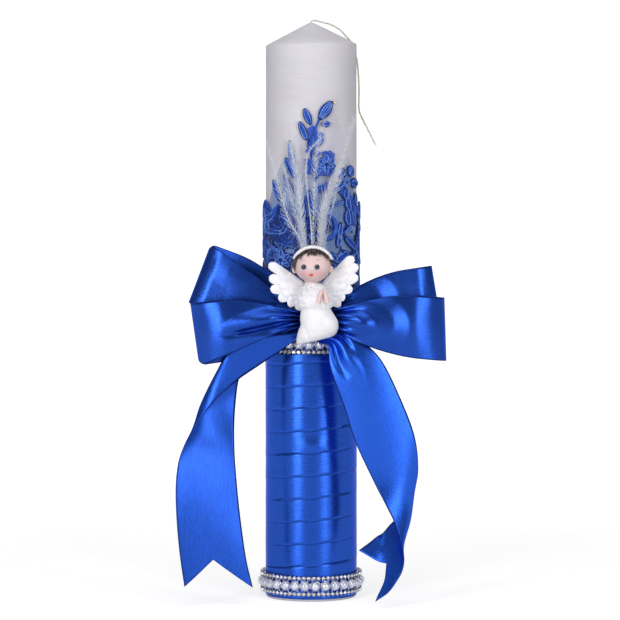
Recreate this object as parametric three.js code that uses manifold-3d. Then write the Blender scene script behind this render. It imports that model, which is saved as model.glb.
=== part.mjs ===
// Baptism candle: a white pillar candle wound with satin ribbon, with a lace band, two pearl
// trims, a four-loop bow, feathers and a small praying angel.
// Millimetres, +Z up, origin at the middle of the candle's foot. The front faces -Y.

import * as THREE from 'three';
import { mergeVertices } from 'three/addons/utils/BufferGeometryUtils.js';
import Module from 'manifold-3d';

const wasm = await Module();
wasm.setup();

// Clearances between neighbouring pieces
const SEAT_GAP = 0.3;
const LAYER_GAP = 0.4;

// Candle and wick
const CANDLE_RADIUS = 30;
const CANDLE_HEIGHT = 380;
const CONE_HEIGHT = 15.2;
const FOOT_CHAMFER = 0.8;
const WICK_DIAMETER = 1.4;
const WICK_BORE_CLEARANCE = 0.3;
const WICK_FLOOR = 6;
const WICK_SUNK = 1.2;
const RING_STEPS = 30;

// Satin ribbon wound round the lower candle
const WRAP_BOTTOM = 1.5;
const WRAP_TOP = 163.5;
const WRAP_PITCH = 14.9;
const WRAP_OVERLAP = 1.6;
const WRAP_THICKNESS = 0.3;
const WRAP_SELF_GAP = 0.5;

// Pearl and stone trims
const TRIM_BAND_THICKNESS = 0.4;
const TRIM_BAND_HEIGHT = 12.8;
const PEARL_DIAMETER = 6.5;
const PEARL_COUNT = 30;
const STONE_DIAMETER = 2.4;
const STONE_DEPTH = 1.9;
const STONE_COUNT = 64;
const STONE_ROW_SPACING = 10.6;
const LOWER_TRIM_HEIGHT = 10.6;
const UPPER_TRIM_HEIGHT = 169.8;

// Tulle and lace round the middle
const TULLE_THICKNESS = 0.5;
const TULLE_SIDE_TOP = 262;
const TULLE_PEAK_TOP = 327;
const TULLE_PEAK_ANGLE = 20;
const TULLE_LEFT_SPAN = 85;
const TULLE_RIGHT_SPAN = 52;
const LACE_THICKNESS = 0.9;
const LACE_BAND_TOP = 252;
const LACE_SCALLOP = 3;
const LEAF_THICKNESS = 1;
const FLOWER_THICKNESS = 1.3;
const TIP_PEARL_DIAMETER = 2.2;

// Bow
const RIBBON_WIDTH = 41;
const BOW_CLOTH = 0.8;
const KNOT_X = 2;
const KNOT_HEIGHT_Z = 188;
const KNOT_WIDTH = 14;
const KNOT_TALL = 16;
const KNOT_DEPTH = 13.4;
const ROOT_WIDTH = 10;
const REAR_LOOP_DEPTH = 4.6;
const FRONT_LOOP_DEPTH = 9.6;
const REAR_BELLY_FRONT = 3.2;
const REAR_BELLY_BACK = 6;
const FRONT_BELLY_FRONT = 9;
const FRONT_BELLY_BACK = 2.2;
const REAR_LEAN = 6;
const TAIL_NOTCH_LEFT = 18.5;
const TAIL_NOTCH_RIGHT = 18.5;
const PIN_HEAD_DIAMETER = 2.2;
const PIN_SHANK_DIAMETER = 0.7;

// Angel
const ANGEL_X = 1;
const WING_THICKNESS = 1.6;
const HEAD_WIDTH = 24.4;
const HEAD_HEIGHT = 22.4;
const HEAD_LENGTH = 21;
const HAIR_THICKNESS = 0.7;
const HEADBAND_DIAMETER = 1.8;
const ROBE_BOTTOM = 170.6;

// Feathers
const FEATHER_THICKNESS = 0.6;
const FEATHER_WIDTH = 4.6;

// Radii and depths that follow from the sizes above
const wrapInner = CANDLE_RADIUS + SEAT_GAP;
const wrapOuter = wrapInner + 2 * WRAP_THICKNESS + WRAP_SELF_GAP;
const tulleInner = CANDLE_RADIUS + SEAT_GAP;
const laceInner = tulleInner + TULLE_THICKNESS + SEAT_GAP;
const laceOuter = laceInner + LACE_THICKNESS;
const lowerTrimInner = wrapOuter + SEAT_GAP;
const upperTrimInner = laceOuter + SEAT_GAP;
const laceBottom = WRAP_TOP + SEAT_GAP;
const trimReach = TRIM_BAND_THICKNESS + SEAT_GAP + PEARL_DIAMETER / 2;
const knotMeetsTrim = Math.abs(KNOT_HEIGHT_Z - UPPER_TRIM_HEIGHT) < (KNOT_TALL + TRIM_BAND_HEIGHT) / 2;
const knotBackY = -(knotMeetsTrim ? upperTrimInner + trimReach : laceOuter) - SEAT_GAP;
const knotFrontY = knotBackY - KNOT_DEPTH;
const rearLoopY = knotBackY - REAR_LOOP_DEPTH;
const frontLoopY = knotBackY - FRONT_LOOP_DEPTH;
const tailGapY = knotFrontY - LAYER_GAP - BOW_CLOTH / 2;
const angelBackY = tailGapY - BOW_CLOTH / 2 - LAYER_GAP;

const degrees = Math.PI / 180;
const clamp = THREE.MathUtils.clamp;
const lerp = THREE.MathUtils.lerp;

// Finishes
function finish(color, roughness, metalness = 0) {
  return new THREE.MeshStandardMaterial({ color, roughness, metalness });
}

const wax = finish('#dcdade', 0.55);
const cotton = finish('#b3a488', 0.9);
const satin = finish('#1b45c4', 0.35);
const tulleCloth = finish('#6f84ab', 0.85);
const laceThread = finish('#1a3c9c', 0.7);
const pearlFinish = finish('#d9d6da', 0.25);
const stoneFinish = finish('#e3e2ea', 0.12, 0.3);
const silver = finish('#aaa7ad', 0.35, 0.9);
const featherFinish = finish('#eef1f5', 0.9);
const resin = finish('#f1eff2', 0.6);
const skin = finish('#eccac6', 0.55);
const hairPaint = finish('#3d2a26', 0.65);

const candle = new THREE.Group();

// Cleans a geometry down to welded positions, drops collapsed triangles and turns it right side out.
function closedBody(geometry) {
  const bare = new THREE.BufferGeometry();
  bare.setAttribute('position', geometry.getAttribute('position').clone());
  if (geometry.index) bare.setIndex(geometry.index.clone());
  const welded = mergeVertices(bare, 1e-4);
  const index = welded.index.array;
  const spot = welded.getAttribute('position');
  const corner = (k) => new THREE.Vector3().fromBufferAttribute(spot, k);
  const kept = [];
  let volume = 0;
  for (let k = 0; k < index.length; k += 3) {
    const [a, b, c] = [index[k], index[k + 1], index[k + 2]];
    if (a === b || b === c || c === a) continue;
    kept.push(a, b, c);
    volume += corner(a).dot(corner(b).cross(corner(c)));
  }
  if (volume < 0) {
    for (let k = 0; k < kept.length; k += 3) [kept[k], kept[k + 1]] = [kept[k + 1], kept[k]];
  }
  welded.setIndex(kept);
  welded.computeVertexNormals();
  return welded;
}

// One geometry less another, both closed.
function cutAway(geometry, tool) {
  const solid = (source) => {
    const body = closedBody(source);
    const vertProperties = new Float32Array(body.getAttribute('position').array);
    const triVerts = new Uint32Array(body.index.array);
    return new wasm.Manifold(new wasm.Mesh({ numProp: 3, vertProperties, triVerts }));
  };
  const { numProp, vertProperties, triVerts } = solid(geometry).subtract(solid(tool)).getMesh();
  const positions = [];
  for (let k = 0; k < vertProperties.length; k += numProp) {
    positions.push(...vertProperties.slice(k, k + 3));
  }
  const cut = new THREE.BufferGeometry();
  cut.setAttribute('position', new THREE.Float32BufferAttribute(positions, 3));
  cut.setIndex(Array.from(triVerts));
  return cut;
}

function addPiece(name, geometry, material) {
  const mesh = new THREE.Mesh(closedBody(geometry), material);
  mesh.name = name;
  candle.add(mesh);
}

// A closed body between two facing grids of points. wrapRows and wrapColumns close a grid on itself.
function wallBetween(rows, columns, outer, inner, wrapRows = false, wrapColumns = false) {
  const positions = [];
  const index = [];
  const layer = (rows + 1) * (columns + 1);
  for (const side of [outer, inner]) {
    for (let i = 0; i <= rows; i += 1) {
      for (let j = 0; j <= columns; j += 1) {
        positions.push(...side(wrapRows ? i % rows : i, wrapColumns ? j % columns : j).toArray());
      }
    }
  }
  const at = (side, i, j) => side * layer + i * (columns + 1) + j;
  const quad = (a, b, c, d) => index.push(a, b, c, a, c, d);
  for (let i = 0; i < rows; i += 1) {
    for (let j = 0; j < columns; j += 1) {
      quad(at(0, i, j), at(0, i + 1, j), at(0, i + 1, j + 1), at(0, i, j + 1));
      quad(at(1, i, j), at(1, i, j + 1), at(1, i + 1, j + 1), at(1, i + 1, j));
    }
  }
  if (!wrapColumns) {
    for (let i = 0; i < rows; i += 1) {
      quad(at(0, i + 1, 0), at(0, i, 0), at(1, i, 0), at(1, i + 1, 0));
      quad(at(0, i, columns), at(0, i + 1, columns), at(1, i + 1, columns), at(1, i, columns));
    }
  }
  if (!wrapRows) {
    for (let j = 0; j < columns; j += 1) {
      quad(at(0, 0, j), at(0, 0, j + 1), at(1, 0, j + 1), at(1, 0, j));
      quad(at(0, rows, j + 1), at(0, rows, j), at(1, rows, j), at(1, rows, j + 1));
    }
  }
  const geometry = new THREE.BufferGeometry();
  geometry.setAttribute('position', new THREE.Float32BufferAttribute(positions, 3));
  geometry.setIndex(index);
  return geometry;
}

// Cloth of one thickness round the surface point(u, v), with u and v from 0 to 1.
function clothSolid(point, rows, columns, thickness) {
  const grid = [];
  for (let i = 0; i <= rows; i += 1) {
    grid.push([]);
    for (let j = 0; j <= columns; j += 1) grid[i].push(point(i / rows, j / columns));
  }
  const normal = (i, j) => {
    const along = grid[Math.min(i + 1, rows)][j].clone().sub(grid[Math.max(i - 1, 0)][j]);
    const across = grid[i][Math.min(j + 1, columns)].clone().sub(grid[i][Math.max(j - 1, 0)]);
    return along.cross(across).normalize();
  };
  const side = (sign) => (i, j) => grid[i][j].clone().addScaledVector(normal(i, j), sign * thickness / 2);
  return wallBetween(rows, columns, side(1), side(-1));
}

// A point at an angle round the candle, measured from the front towards +X.
function roundCandle(radius, angle, z) {
  return new THREE.Vector3(radius * Math.sin(angle), -radius * Math.cos(angle), z);
}

// A turned body from a closed profile of [radius, height] points.
function turned(profile, steps = RING_STEPS) {
  const points = profile.map(([radius, z]) => new THREE.Vector2(radius, z));
  return new THREE.LatheGeometry(points, steps).rotateX(Math.PI / 2);
}

function ringBand(inner, outer, bottom, top) {
  return turned([[inner, bottom], [outer, bottom], [outer, top], [inner, top], [inner, bottom]]);
}

// A body through stacked ellipses of {x, y, z, rx, ry}, closed by a point at each end.
function stackedBody(sections, sides) {
  const rim = (k, j) => {
    const s = sections[k];
    const turn = 2 * Math.PI * j / sides;
    return new THREE.Vector3(s.x + s.rx * Math.sin(turn), s.y - s.ry * Math.cos(turn), s.z);
  };
  const positions = [];
  const index = [];
  for (let k = 0; k < sections.length; k += 1) {
    for (let j = 0; j < sides; j += 1) positions.push(...rim(k, j).toArray());
  }
  const last = sections.length - 1;
  const foot = sections.length * sides;
  const head = foot + 1;
  for (const end of [sections[0], sections[last]]) positions.push(end.x, end.y, end.z);
  for (let j = 0; j < sides; j += 1) {
    const next = (j + 1) % sides;
    for (let k = 0; k < last; k += 1) {
      const low = k * sides;
      const high = low + sides;
      index.push(low + j, low + next, high + next, low + j, high + next, high + j);
    }
    index.push(foot, next, j, head, last * sides + j, last * sides + next);
  }
  const geometry = new THREE.BufferGeometry();
  geometry.setAttribute('position', new THREE.Float32BufferAttribute(positions, 3));
  geometry.setIndex(index);
  return geometry;
}

function makeCandle() {
  const bore = WICK_DIAMETER / 2 + WICK_BORE_CLEARANCE;
  const slope = CONE_HEIGHT / CANDLE_RADIUS;
  const shoulder = CANDLE_HEIGHT - CONE_HEIGHT;
  const profile = [
    [0, 0], [CANDLE_RADIUS - FOOT_CHAMFER, 0], [CANDLE_RADIUS, FOOT_CHAMFER], [CANDLE_RADIUS, shoulder],
    [bore, CANDLE_HEIGHT - bore * slope], [bore, WICK_FLOOR], [0, WICK_FLOOR],
  ];
  addPiece('wax_pillar', turned(profile), wax);
  const wickTop = CANDLE_HEIGHT - WICK_SUNK - SEAT_GAP;
  const wickBottom = WICK_FLOOR + SEAT_GAP;
  const core = new THREE.CylinderGeometry(WICK_DIAMETER / 2, WICK_DIAMETER / 2, wickTop - wickBottom, 8);
  core.rotateX(Math.PI / 2).translate(0, 0, (wickTop + wickBottom) / 2);
  addPiece('wick_core', core, cotton);
}

// The free wick leaves the tip, bends over the right shoulder and hangs down the far right side.
// Its route is drawn on a candle of these sizes and follows the candle's own radius and height.
const WICK_ROUTE_RADIUS = 30;
const WICK_ROUTE_HEIGHT = 380;
const WICK_ROUTE = [
  [0, 0, 378.8], [0.2, 0, 380.2], [1.5, 0.5, 381.6], [3.4, 1, 381.9], [5.8, 2, 381.1], [8.6, 3.9, 380],
  [12, 6.2, 379], [15.6, 8.9, 377.4], [19.1, 11.8, 375.4], [22.6, 14.4, 372.6], [25.6, 16, 368.8],
  [28, 15.2, 364], [29.8, 12.4, 359], [31, 9.6, 353.6], [31.6, 7, 347], [31.8, 5, 339], [31.7, 3.6, 331],
  [31.6, 2.4, 325.2], [32.4, 1.6, 320.6], [34.2, 1, 316.4], [36.6, 0.4, 311.8], [38.8, 0, 307.4],
  [41, -0.4, 303], [43.1, -1, 299],
];
const WICK_STEPS = 40;
const WICK_SIDES = 8;

function makeWickTail() {
  const reach = CANDLE_RADIUS / WICK_ROUTE_RADIUS;
  const lift = CANDLE_HEIGHT - WICK_ROUTE_HEIGHT;
  const route = new THREE.CatmullRomCurve3(
    WICK_ROUTE.map(([x, y, z]) => new THREE.Vector3(x * reach, y * reach, z + lift)));
  const section = new THREE.Shape();
  for (let k = 0; k < WICK_SIDES; k += 1) {
    const turn = 2 * Math.PI * k / WICK_SIDES;
    const corner = [WICK_DIAMETER / 2 * Math.cos(turn), WICK_DIAMETER / 2 * Math.sin(turn)];
    if (k === 0) section.moveTo(...corner);
    else section.lineTo(...corner);
  }
  const options = { steps: WICK_STEPS, bevelEnabled: false, extrudePath: route };
  addPiece('wick_tail', new THREE.ExtrudeGeometry(section, options), cotton);
}

// One unbroken ribbon winds up the candle. Each turn's lower edge lies over the turn below.
function wrapEdge(angle, edge) {
  const middle = WRAP_BOTTOM + WRAP_PITCH * angle / (2 * Math.PI);
  const halfWidth = (WRAP_PITCH + WRAP_OVERLAP) / 2;
  return clamp(middle + edge * halfWidth, WRAP_BOTTOM, WRAP_TOP);
}

function makeWrap() {
  const halfWidth = (WRAP_PITCH + WRAP_OVERLAP) / 2;
  const endTrim = 2;
  const turnStep = 2 * Math.PI / RING_STEPS;
  const first = Math.ceil((endTrim - halfWidth) / WRAP_PITCH * RING_STEPS);
  const last = Math.floor((WRAP_TOP - WRAP_BOTTOM - endTrim + halfWidth) / WRAP_PITCH * RING_STEPS);
  const rise = WRAP_THICKNESS + WRAP_SELF_GAP;
  const radius = (angle, z) => {
    const low = WRAP_BOTTOM + WRAP_PITCH * angle / (2 * Math.PI) - halfWidth;
    return wrapInner + rise * (1 - (z - low) / (2 * halfWidth));
  };
  const corner = (extra) => (i, j) => {
    const angle = (first + i) * turnStep;
    const z = wrapEdge(angle, 2 * j - 1);
    return roundCandle(radius(angle, z) + extra, angle, z);
  };
  const outer = corner(WRAP_THICKNESS);
  const inner = corner(0);
  addPiece('ribbon_wrap', wallBetween(last - first, 1, outer, inner), satin);
  reportWrapGap(last - first, outer, inner);
}

// Prints the least distance between the ribbon and its own neighbouring turn.
function reportWrapGap(rows, outer, inner) {
  const samples = 6;
  const across = (side, i, k) => side(i, 0).lerp(side(i, 1), k / samples);
  let least = Infinity;
  for (let i = 0; i + RING_STEPS - 1 <= rows; i += 1) {
    for (let k = 0; k <= samples; k += 1) {
      const below = across(outer, i, k);
      for (let step = -1; step <= 1; step += 1) {
        const above = Math.min(i + RING_STEPS + step, rows);
        for (let m = 0; m <= samples; m += 1) {
          least = Math.min(least, below.distanceTo(across(inner, above, m)));
        }
      }
    }
  }
  console.log(`ribbon_wrap least gap to itself ${least.toFixed(2)} mm`);
}

// Beads on a ring as one strand: each bead swells from a thin neck. The section is a list of
// [outward, upward] points for a bead of full size.
function beadStrand(radius, z, count, stations, section) {
  const rows = count * stations.length;
  const point = (i, j) => {
    const station = stations[i % stations.length];
    const angle = (Math.floor(i / stations.length) + station.place) * 2 * Math.PI / count;
    const [out, up] = section[j % section.length];
    return roundCandle(radius + out * station.size, angle, z + up * station.size);
  };
  const positions = [];
  const index = [];
  for (let i = 0; i < rows; i += 1) {
    for (let j = 0; j < section.length; j += 1) positions.push(...point(i, j).toArray());
  }
  const at = (i, j) => (i % rows) * section.length + (j % section.length);
  for (let i = 0; i < rows; i += 1) {
    for (let j = 0; j < section.length; j += 1) {
      index.push(at(i, j), at(i + 1, j), at(i + 1, j + 1), at(i, j), at(i + 1, j + 1), at(i, j + 1));
    }
  }
  const geometry = new THREE.BufferGeometry();
  geometry.setAttribute('position', new THREE.Float32BufferAttribute(positions, 3));
  geometry.setIndex(index);
  return geometry;
}

const PEARL_STATIONS = [{ place: 0, size: 0.3 }, { place: 0.3, size: 0.95 }, { place: 0.7, size: 0.95 }];
const STONE_STATIONS = [{ place: 0, size: 0.35 }, { place: 0.5, size: 1 }];

function makeTrim(prefix, inner, height) {
  const bandOuter = inner + TRIM_BAND_THICKNESS;
  const seat = bandOuter + SEAT_GAP;
  const half = TRIM_BAND_HEIGHT / 2;
  addPiece(`${prefix}_band`, ringBand(inner, bandOuter, height - half, height + half), silver);
  const pearl = PEARL_DIAMETER / 2;
  const slant = Math.SQRT1_2 * pearl;
  const pearlSection = [[0, -pearl], [slant, -slant], [pearl, 0], [slant, slant], [0, pearl]];
  const pearls = beadStrand(seat, height, PEARL_COUNT, PEARL_STATIONS, pearlSection);
  addPiece(`${prefix}_pearls`, pearls, pearlFinish);
  const stone = STONE_DIAMETER / 2;
  const stoneSection = [[0, -stone], [STONE_DEPTH, 0], [0, stone]];
  for (const [row, side] of [['top', 1], ['bottom', -1]]) {
    const z = height + side * STONE_ROW_SPACING / 2;
    const strand = beadStrand(seat, z, STONE_COUNT, STONE_STATIONS, stoneSection);
    addPiece(`${prefix}_stones_${row}`, strand, stoneFinish);
  }
}

// The net's top edge is level round the sides and climbs to a peak at the front.
function tulleTop(angle) {
  const turn = Math.atan2(Math.sin(angle), Math.cos(angle)) / degrees - TULLE_PEAK_ANGLE;
  const span = turn < 0 ? TULLE_LEFT_SPAN : TULLE_RIGHT_SPAN;
  const climb = Math.max(0, 1 - Math.abs(turn / span) ** 1.5);
  return lerp(TULLE_SIDE_TOP, TULLE_PEAK_TOP, climb);
}

function ringSleeve(inner, outer, bottom, top, rows) {
  const side = (radius) => (i, j) => {
    const angle = 2 * Math.PI * j / RING_STEPS;
    return roundCandle(radius, angle, lerp(bottom, top(angle), i / rows));
  };
  return wallBetween(rows, RING_STEPS, side(outer), side(inner), false, true);
}

// A domed leaf lying on the candle: base angle and height, heading from upright, length, width.
function leafSolid(seat, baseAngle, baseZ, heading, length, width) {
  const rows = 5;
  const place = (i, j, height) => {
    const along = i / rows;
    const half = width / 2 * (0.12 + 0.88 * Math.sin(Math.PI * along) ** 0.8);
    const p = length * along;
    const q = half * (j - 1);
    const turn = heading * degrees;
    const angle = baseAngle * degrees + (p * Math.sin(turn) + q * Math.cos(turn)) / seat;
    return roundCandle(seat + height, angle, baseZ + p * Math.cos(turn) - q * Math.sin(turn));
  };
  const crown = (i, j) => place(i, j, LEAF_THICKNESS * (j === 1 ? 1 : 0.6));
  return wallBetween(rows, 2, crown, (i, j) => place(i, j, 0));
}

// A five-petalled lace flower with a raised middle.
function flowerSolid(seat, centreAngle, centreZ, radius) {
  const steps = 20;
  const petals = 5;
  const place = (share, j, height) => {
    const turn = 2 * Math.PI * j / steps;
    const reach = share * radius * (0.78 + 0.22 * Math.cos(petals * turn));
    const angle = centreAngle * degrees + reach * Math.sin(turn) / seat;
    return roundCandle(seat + height, angle, centreZ + reach * Math.cos(turn));
  };
  const face = (i, j) => place(i / 2, j, FLOWER_THICKNESS * (1 - 0.2 * i));
  return wallBetween(2, steps, face, (i, j) => place(i / 2, j, 0), false, true);
}

// [angle, height, heading, length, width] of each leaf of the climbing spray
const LACE_LEAVES = [
  [10.3, 317.6, 39, 14.5, 7.5], [12.5, 313, 103, 5.2, 3.6], [0.9, 312.4, -28, 12.5, 4.5],
  [-3.8, 300.1, -24, 16.3, 5], [1.5, 304.5, 45, 6.8, 4], [12.7, 302.7, -135, 6.2, 1.8],
  [-19.5, 281, -8, 21, 5], [-27, 279, -25, 13, 4.6], [-44.8, 265.3, -9, 12, 5.4], [4, 276.6, 2, 7.6, 3.8],
  [11, 264.5, 12, 10, 4.8], [61, 258.5, 6, 11.5, 5], [-31, 263, 4, 12.5, 4.6], [38, 261.5, -80, 7.6, 3.8],
];
// [name, angle, height, radius, whether it lies on the dense band]
const LACE_FLOWERS = [
  ['front', 12.5, 290, 6.6, false], ['right', 44, 274, 7, false], ['left', -37, 224.8, 7, true],
];

function makeLace() {
  const tulleOuter = tulleInner + TULLE_THICKNESS;
  addPiece('tulle_net', ringSleeve(tulleInner, tulleOuter, laceBottom, tulleTop, 3), tulleCloth);
  const scalloped = (angle) => LACE_BAND_TOP + LACE_SCALLOP * Math.cos(10 * angle);
  addPiece('lace_band', ringSleeve(laceInner, laceOuter, laceBottom, scalloped, 2), laceThread);
  LACE_LEAVES.forEach(([angle, z, heading, length, width], k) => {
    const leaf = leafSolid(laceInner, angle, z, heading, length, width);
    addPiece(`lace_leaf_${k + 1}`, leaf, laceThread);
  });
  for (const [name, angle, z, radius, onBand] of LACE_FLOWERS) {
    const seat = onBand ? laceOuter + SEAT_GAP : laceInner;
    addPiece(`lace_flower_${name}`, flowerSolid(seat, angle, z, radius), laceThread);
  }
  const [budAngle, budZ, budHeading, budLength] = LACE_LEAVES[0];
  const reach = 0.86 * budLength;
  const turn = budHeading * degrees;
  const angle = budAngle * degrees + reach * Math.sin(turn) / laceInner;
  const seat = laceInner + LEAF_THICKNESS + SEAT_GAP + TIP_PEARL_DIAMETER / 2;
  const centre = roundCandle(seat, angle, budZ + reach * Math.cos(turn));
  const pearl = new THREE.SphereGeometry(TIP_PEARL_DIAMETER / 2, 8, 6).translate(...centre.toArray());
  addPiece('lace_tip_pearl', pearl, pearlFinish);
}

// Bow loops. rise is the tilt of the loop's axis above level, in degrees; topCut and bottomCut
// bring in the front leaf's edges, where the satin bulges forwards instead.
const BOW_LOOPS = [
  { name: 'upper_left', side: -1, rise: 20.8, length: 80, front: false, topCut: 8, bottomCut: 0 },
  { name: 'upper_right', side: 1, rise: 9.4, length: 81, front: false, topCut: 0, bottomCut: 0 },
  { name: 'lower_left', side: -1, rise: -8, length: 78.5, front: true, topCut: 1, bottomCut: 9 },
  { name: 'lower_right', side: 1, rise: -5, length: 85.5, front: true, topCut: 0, bottomCut: 1 },
];
const LOOP_SPREAD = 0.77;
const LOOP_FOLD = 0.6;
const LOOP_STEPS = 20;
const LOOP_COLUMNS = 4;
const rootReach = KNOT_WIDTH / 2 - 0.6;

function loopAxes(loop) {
  const tilt = loop.rise * degrees;
  const axis = new THREE.Vector3(loop.side * Math.cos(tilt), 0, Math.sin(tilt));
  const up = new THREE.Vector3(-loop.side * Math.sin(tilt), 0, Math.cos(tilt));
  return { axis, up };
}

// A point on a loop: u runs out along the back leaf and home along the front leaf, v across.
function loopPoint(loop, u, v) {
  const { axis, up } = loopAxes(loop);
  const out = Math.sin(Math.PI * u);
  const turn = -Math.cos(Math.PI * u);
  const inFront = clamp(turn, 0, 1);
  const along = lerp(rootReach, loop.length, out);
  const opening = Math.sin(Math.PI / 2 * Math.min(1, out / LOOP_SPREAD));
  const half = lerp(ROOT_WIDTH / 2, RIBBON_WIDTH / 2, opening);
  const swell = Math.sin(Math.PI * Math.min(1, out)) ** 0.6 * inFront;
  const top = half - loop.topCut * swell;
  const bottom = -half + loop.bottomCut * swell;
  const across = lerp(bottom, top, v);
  const fullness = 1 - (1 - out) ** 3;
  const crown = lerp(1, 0.45 + 0.55 * Math.sin(Math.PI * v), inFront);
  const belly = loop.front
    ? lerp(FRONT_BELLY_BACK, FRONT_BELLY_FRONT, (turn + 1) / 2)
    : lerp(REAR_BELLY_BACK, REAR_BELLY_FRONT, (turn + 1) / 2);
  const fold = Math.sign(turn) * Math.abs(turn) ** LOOP_FOLD;
  const middle = loop.front ? frontLoopY : rearLoopY + REAR_LEAN * out;
  const depth = middle - fold * (BOW_CLOTH + belly * fullness * crown);
  const centre = new THREE.Vector3(KNOT_X, depth, KNOT_HEIGHT_Z);
  return centre.addScaledVector(axis, along).addScaledVector(up, across);
}

// Each tail follows three lines down its length: the edge that ends up outside, the middle and
// the other edge. Points are [x, behind the knot's front, z], with x and z from the knot.
const LEFT_TAIL = {
  outside: [
    [-2.6, -3.7, -10.6], [-9, -3.7, -12.6], [-24.9, -2.4, -23.7], [-37.3, -1.6, -32.1],
    [-49.8, -1.2, -40.7], [-63.9, -1.6, -53.2], [-73.1, -2, -64.8], [-80.9, -2, -75.7],
    [-87, -1, -88.8], [-89.5, 0, -100.9], [-90.1, 1, -115.9], [-89.2, 2, -135.3], [-87.3, 2, -155],
    [-84.5, 2, -174.7],
  ],
  middle: [
    [-3.8, -3.7, -8.6], [-11.5, -3.7, -10.4], [-31, -3.6, -16.5], [-48, -4.4, -24], [-59.5, -9, -35],
    [-69, -13, -50], [-70.5, -16, -63], [-68, -14.5, -78], [-70.5, -9, -90], [-71, -5, -102],
    [-71, -1, -117.5], [-68.8, 2.6, -136], [-66.3, 3, -154.5], [-62, 1, -174],
  ],
  inside: [
    [-5, -3.7, -6.6], [-14, -3.8, -8.6], [-36, -3.4, -8.6], [-47, -4.2, -17], [-56.5, -4.6, -29.5],
    [-56, -19, -44], [-51, -24, -56], [-51.7, -22, -71], [-52.4, -17, -84], [-51.7, -11, -97],
    [-50.5, -5.5, -113.5], [-48.2, 0.5, -132.5], [-45.3, 1.5, -153.5], [-40.1, 1, -176.6],
  ],
};
const RIGHT_TAIL = {
  outside: [
    [-2.4, 0, -7.4], [2.4, 0, -15.4], [8.7, 0.8, -17.9], [9.6, 2, -28.5], [12.7, 3, -39.7],
    [19, 3.6, -56.4], [26.9, 4, -81], [39.1, 5.5, -107.2], [45.9, 8, -120.2], [53, 11, -134.8],
    [57.9, 13, -152.4], [57.4, 14, -162.3], [53.9, 14.5, -169.5], [48, 14.5, -177.6],
    [39.6, 14, -183.6],
  ],
  middle: [
    [-0.4, 0, -4], [5.8, 0, -10.5], [15.4, 1.6, -14.5], [21.6, 5, -24], [28, 6.4, -34],
    [35.4, 6.6, -52], [45, 5.6, -79], [57, 4, -104], [61.5, 2, -118], [62.5, 0, -133], [56, -2, -145],
    [50.5, 0, -154], [47, 2, -160], [43, 3, -166], [33.8, 3, -170],
  ],
  inside: [
    [1.6, 0, -0.6], [9.4, 0, -5.6], [20.5, 2, -8.8], [33.2, 3.6, -16.4], [43.8, 4.2, -27.5],
    [54.2, 4, -48], [65, 2, -76], [67.6, -2, -100], [64, -9, -115], [57, -15, -129], [50, -16, -136],
    [45, -14, -141.5], [40.9, -11.5, -143.7], [36, -9.5, -147.5], [29, -8, -152.5],
  ],
};
const TAIL_STEPS = 24;
const TAIL_COLUMNS = 4;

function tailSolid(rails, notch) {
  const place = ([x, depth, z]) => new THREE.Vector3(KNOT_X + x, tailGapY - depth, KNOT_HEIGHT_Z + z);
  const curve = (points) => new THREE.CatmullRomCurve3(points.map(place), false, 'centripetal');
  const lines = [curve(rails.outside), curve(rails.middle), curve(rails.inside)];
  const share = notch / lines[1].getLength();
  const point = (u, v) => {
    const reach = u * (1 - share * (1 - Math.abs(2 * v - 1)));
    const [a, m, b] = lines.map((line) => line.getPoint(reach));
    const weightA = (1 - v) * (1 - 2 * v);
    const weightM = 4 * v * (1 - v);
    const weightB = v * (2 * v - 1);
    return a.multiplyScalar(weightA).addScaledVector(m, weightM).addScaledVector(b, weightB);
  };
  return clothSolid(point, TAIL_STEPS, TAIL_COLUMNS, BOW_CLOTH);
}

// The knot is a barrel that bulges at its waist. grow makes it larger all round.
function knotBody(grow) {
  const profile = [[-1, 0.72], [-0.7, 0.94], [0, 1], [0.7, 0.94], [1, 0.72]];
  return stackedBody(profile.map(([height, width]) => ({
    x: KNOT_X,
    y: (knotBackY + knotFrontY) / 2,
    z: KNOT_HEIGHT_Z + height * (KNOT_TALL / 2 + grow),
    rx: width * KNOT_WIDTH / 2 + grow,
    ry: width * KNOT_DEPTH / 2 + grow,
  })), 16);
}

function makeBow() {
  addPiece('bow_knot', knotBody(0), satin);
  const clearOfKnot = knotBody(SEAT_GAP);
  for (const loop of BOW_LOOPS) {
    const cloth = clothSolid((u, v) => loopPoint(loop, u, v), LOOP_STEPS, LOOP_COLUMNS, BOW_CLOTH);
    addPiece(`bow_loop_${loop.name}`, cutAway(cloth, clearOfKnot), satin);
  }
  addPiece('bow_tail_left', cutAway(tailSolid(LEFT_TAIL, TAIL_NOTCH_LEFT), clearOfKnot), satin);
  addPiece('bow_tail_right', cutAway(tailSolid(RIGHT_TAIL, TAIL_NOTCH_RIGHT), clearOfKnot), satin);
}

// A pearl-headed pin stands on the root of the lower left loop. These are its place along the loop
// and across it, and the length of shank that shows.
const PIN_ALONG = 0.994;
const PIN_ACROSS = 0.75;
const PIN_SHANK_LENGTH = 0.8;

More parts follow.
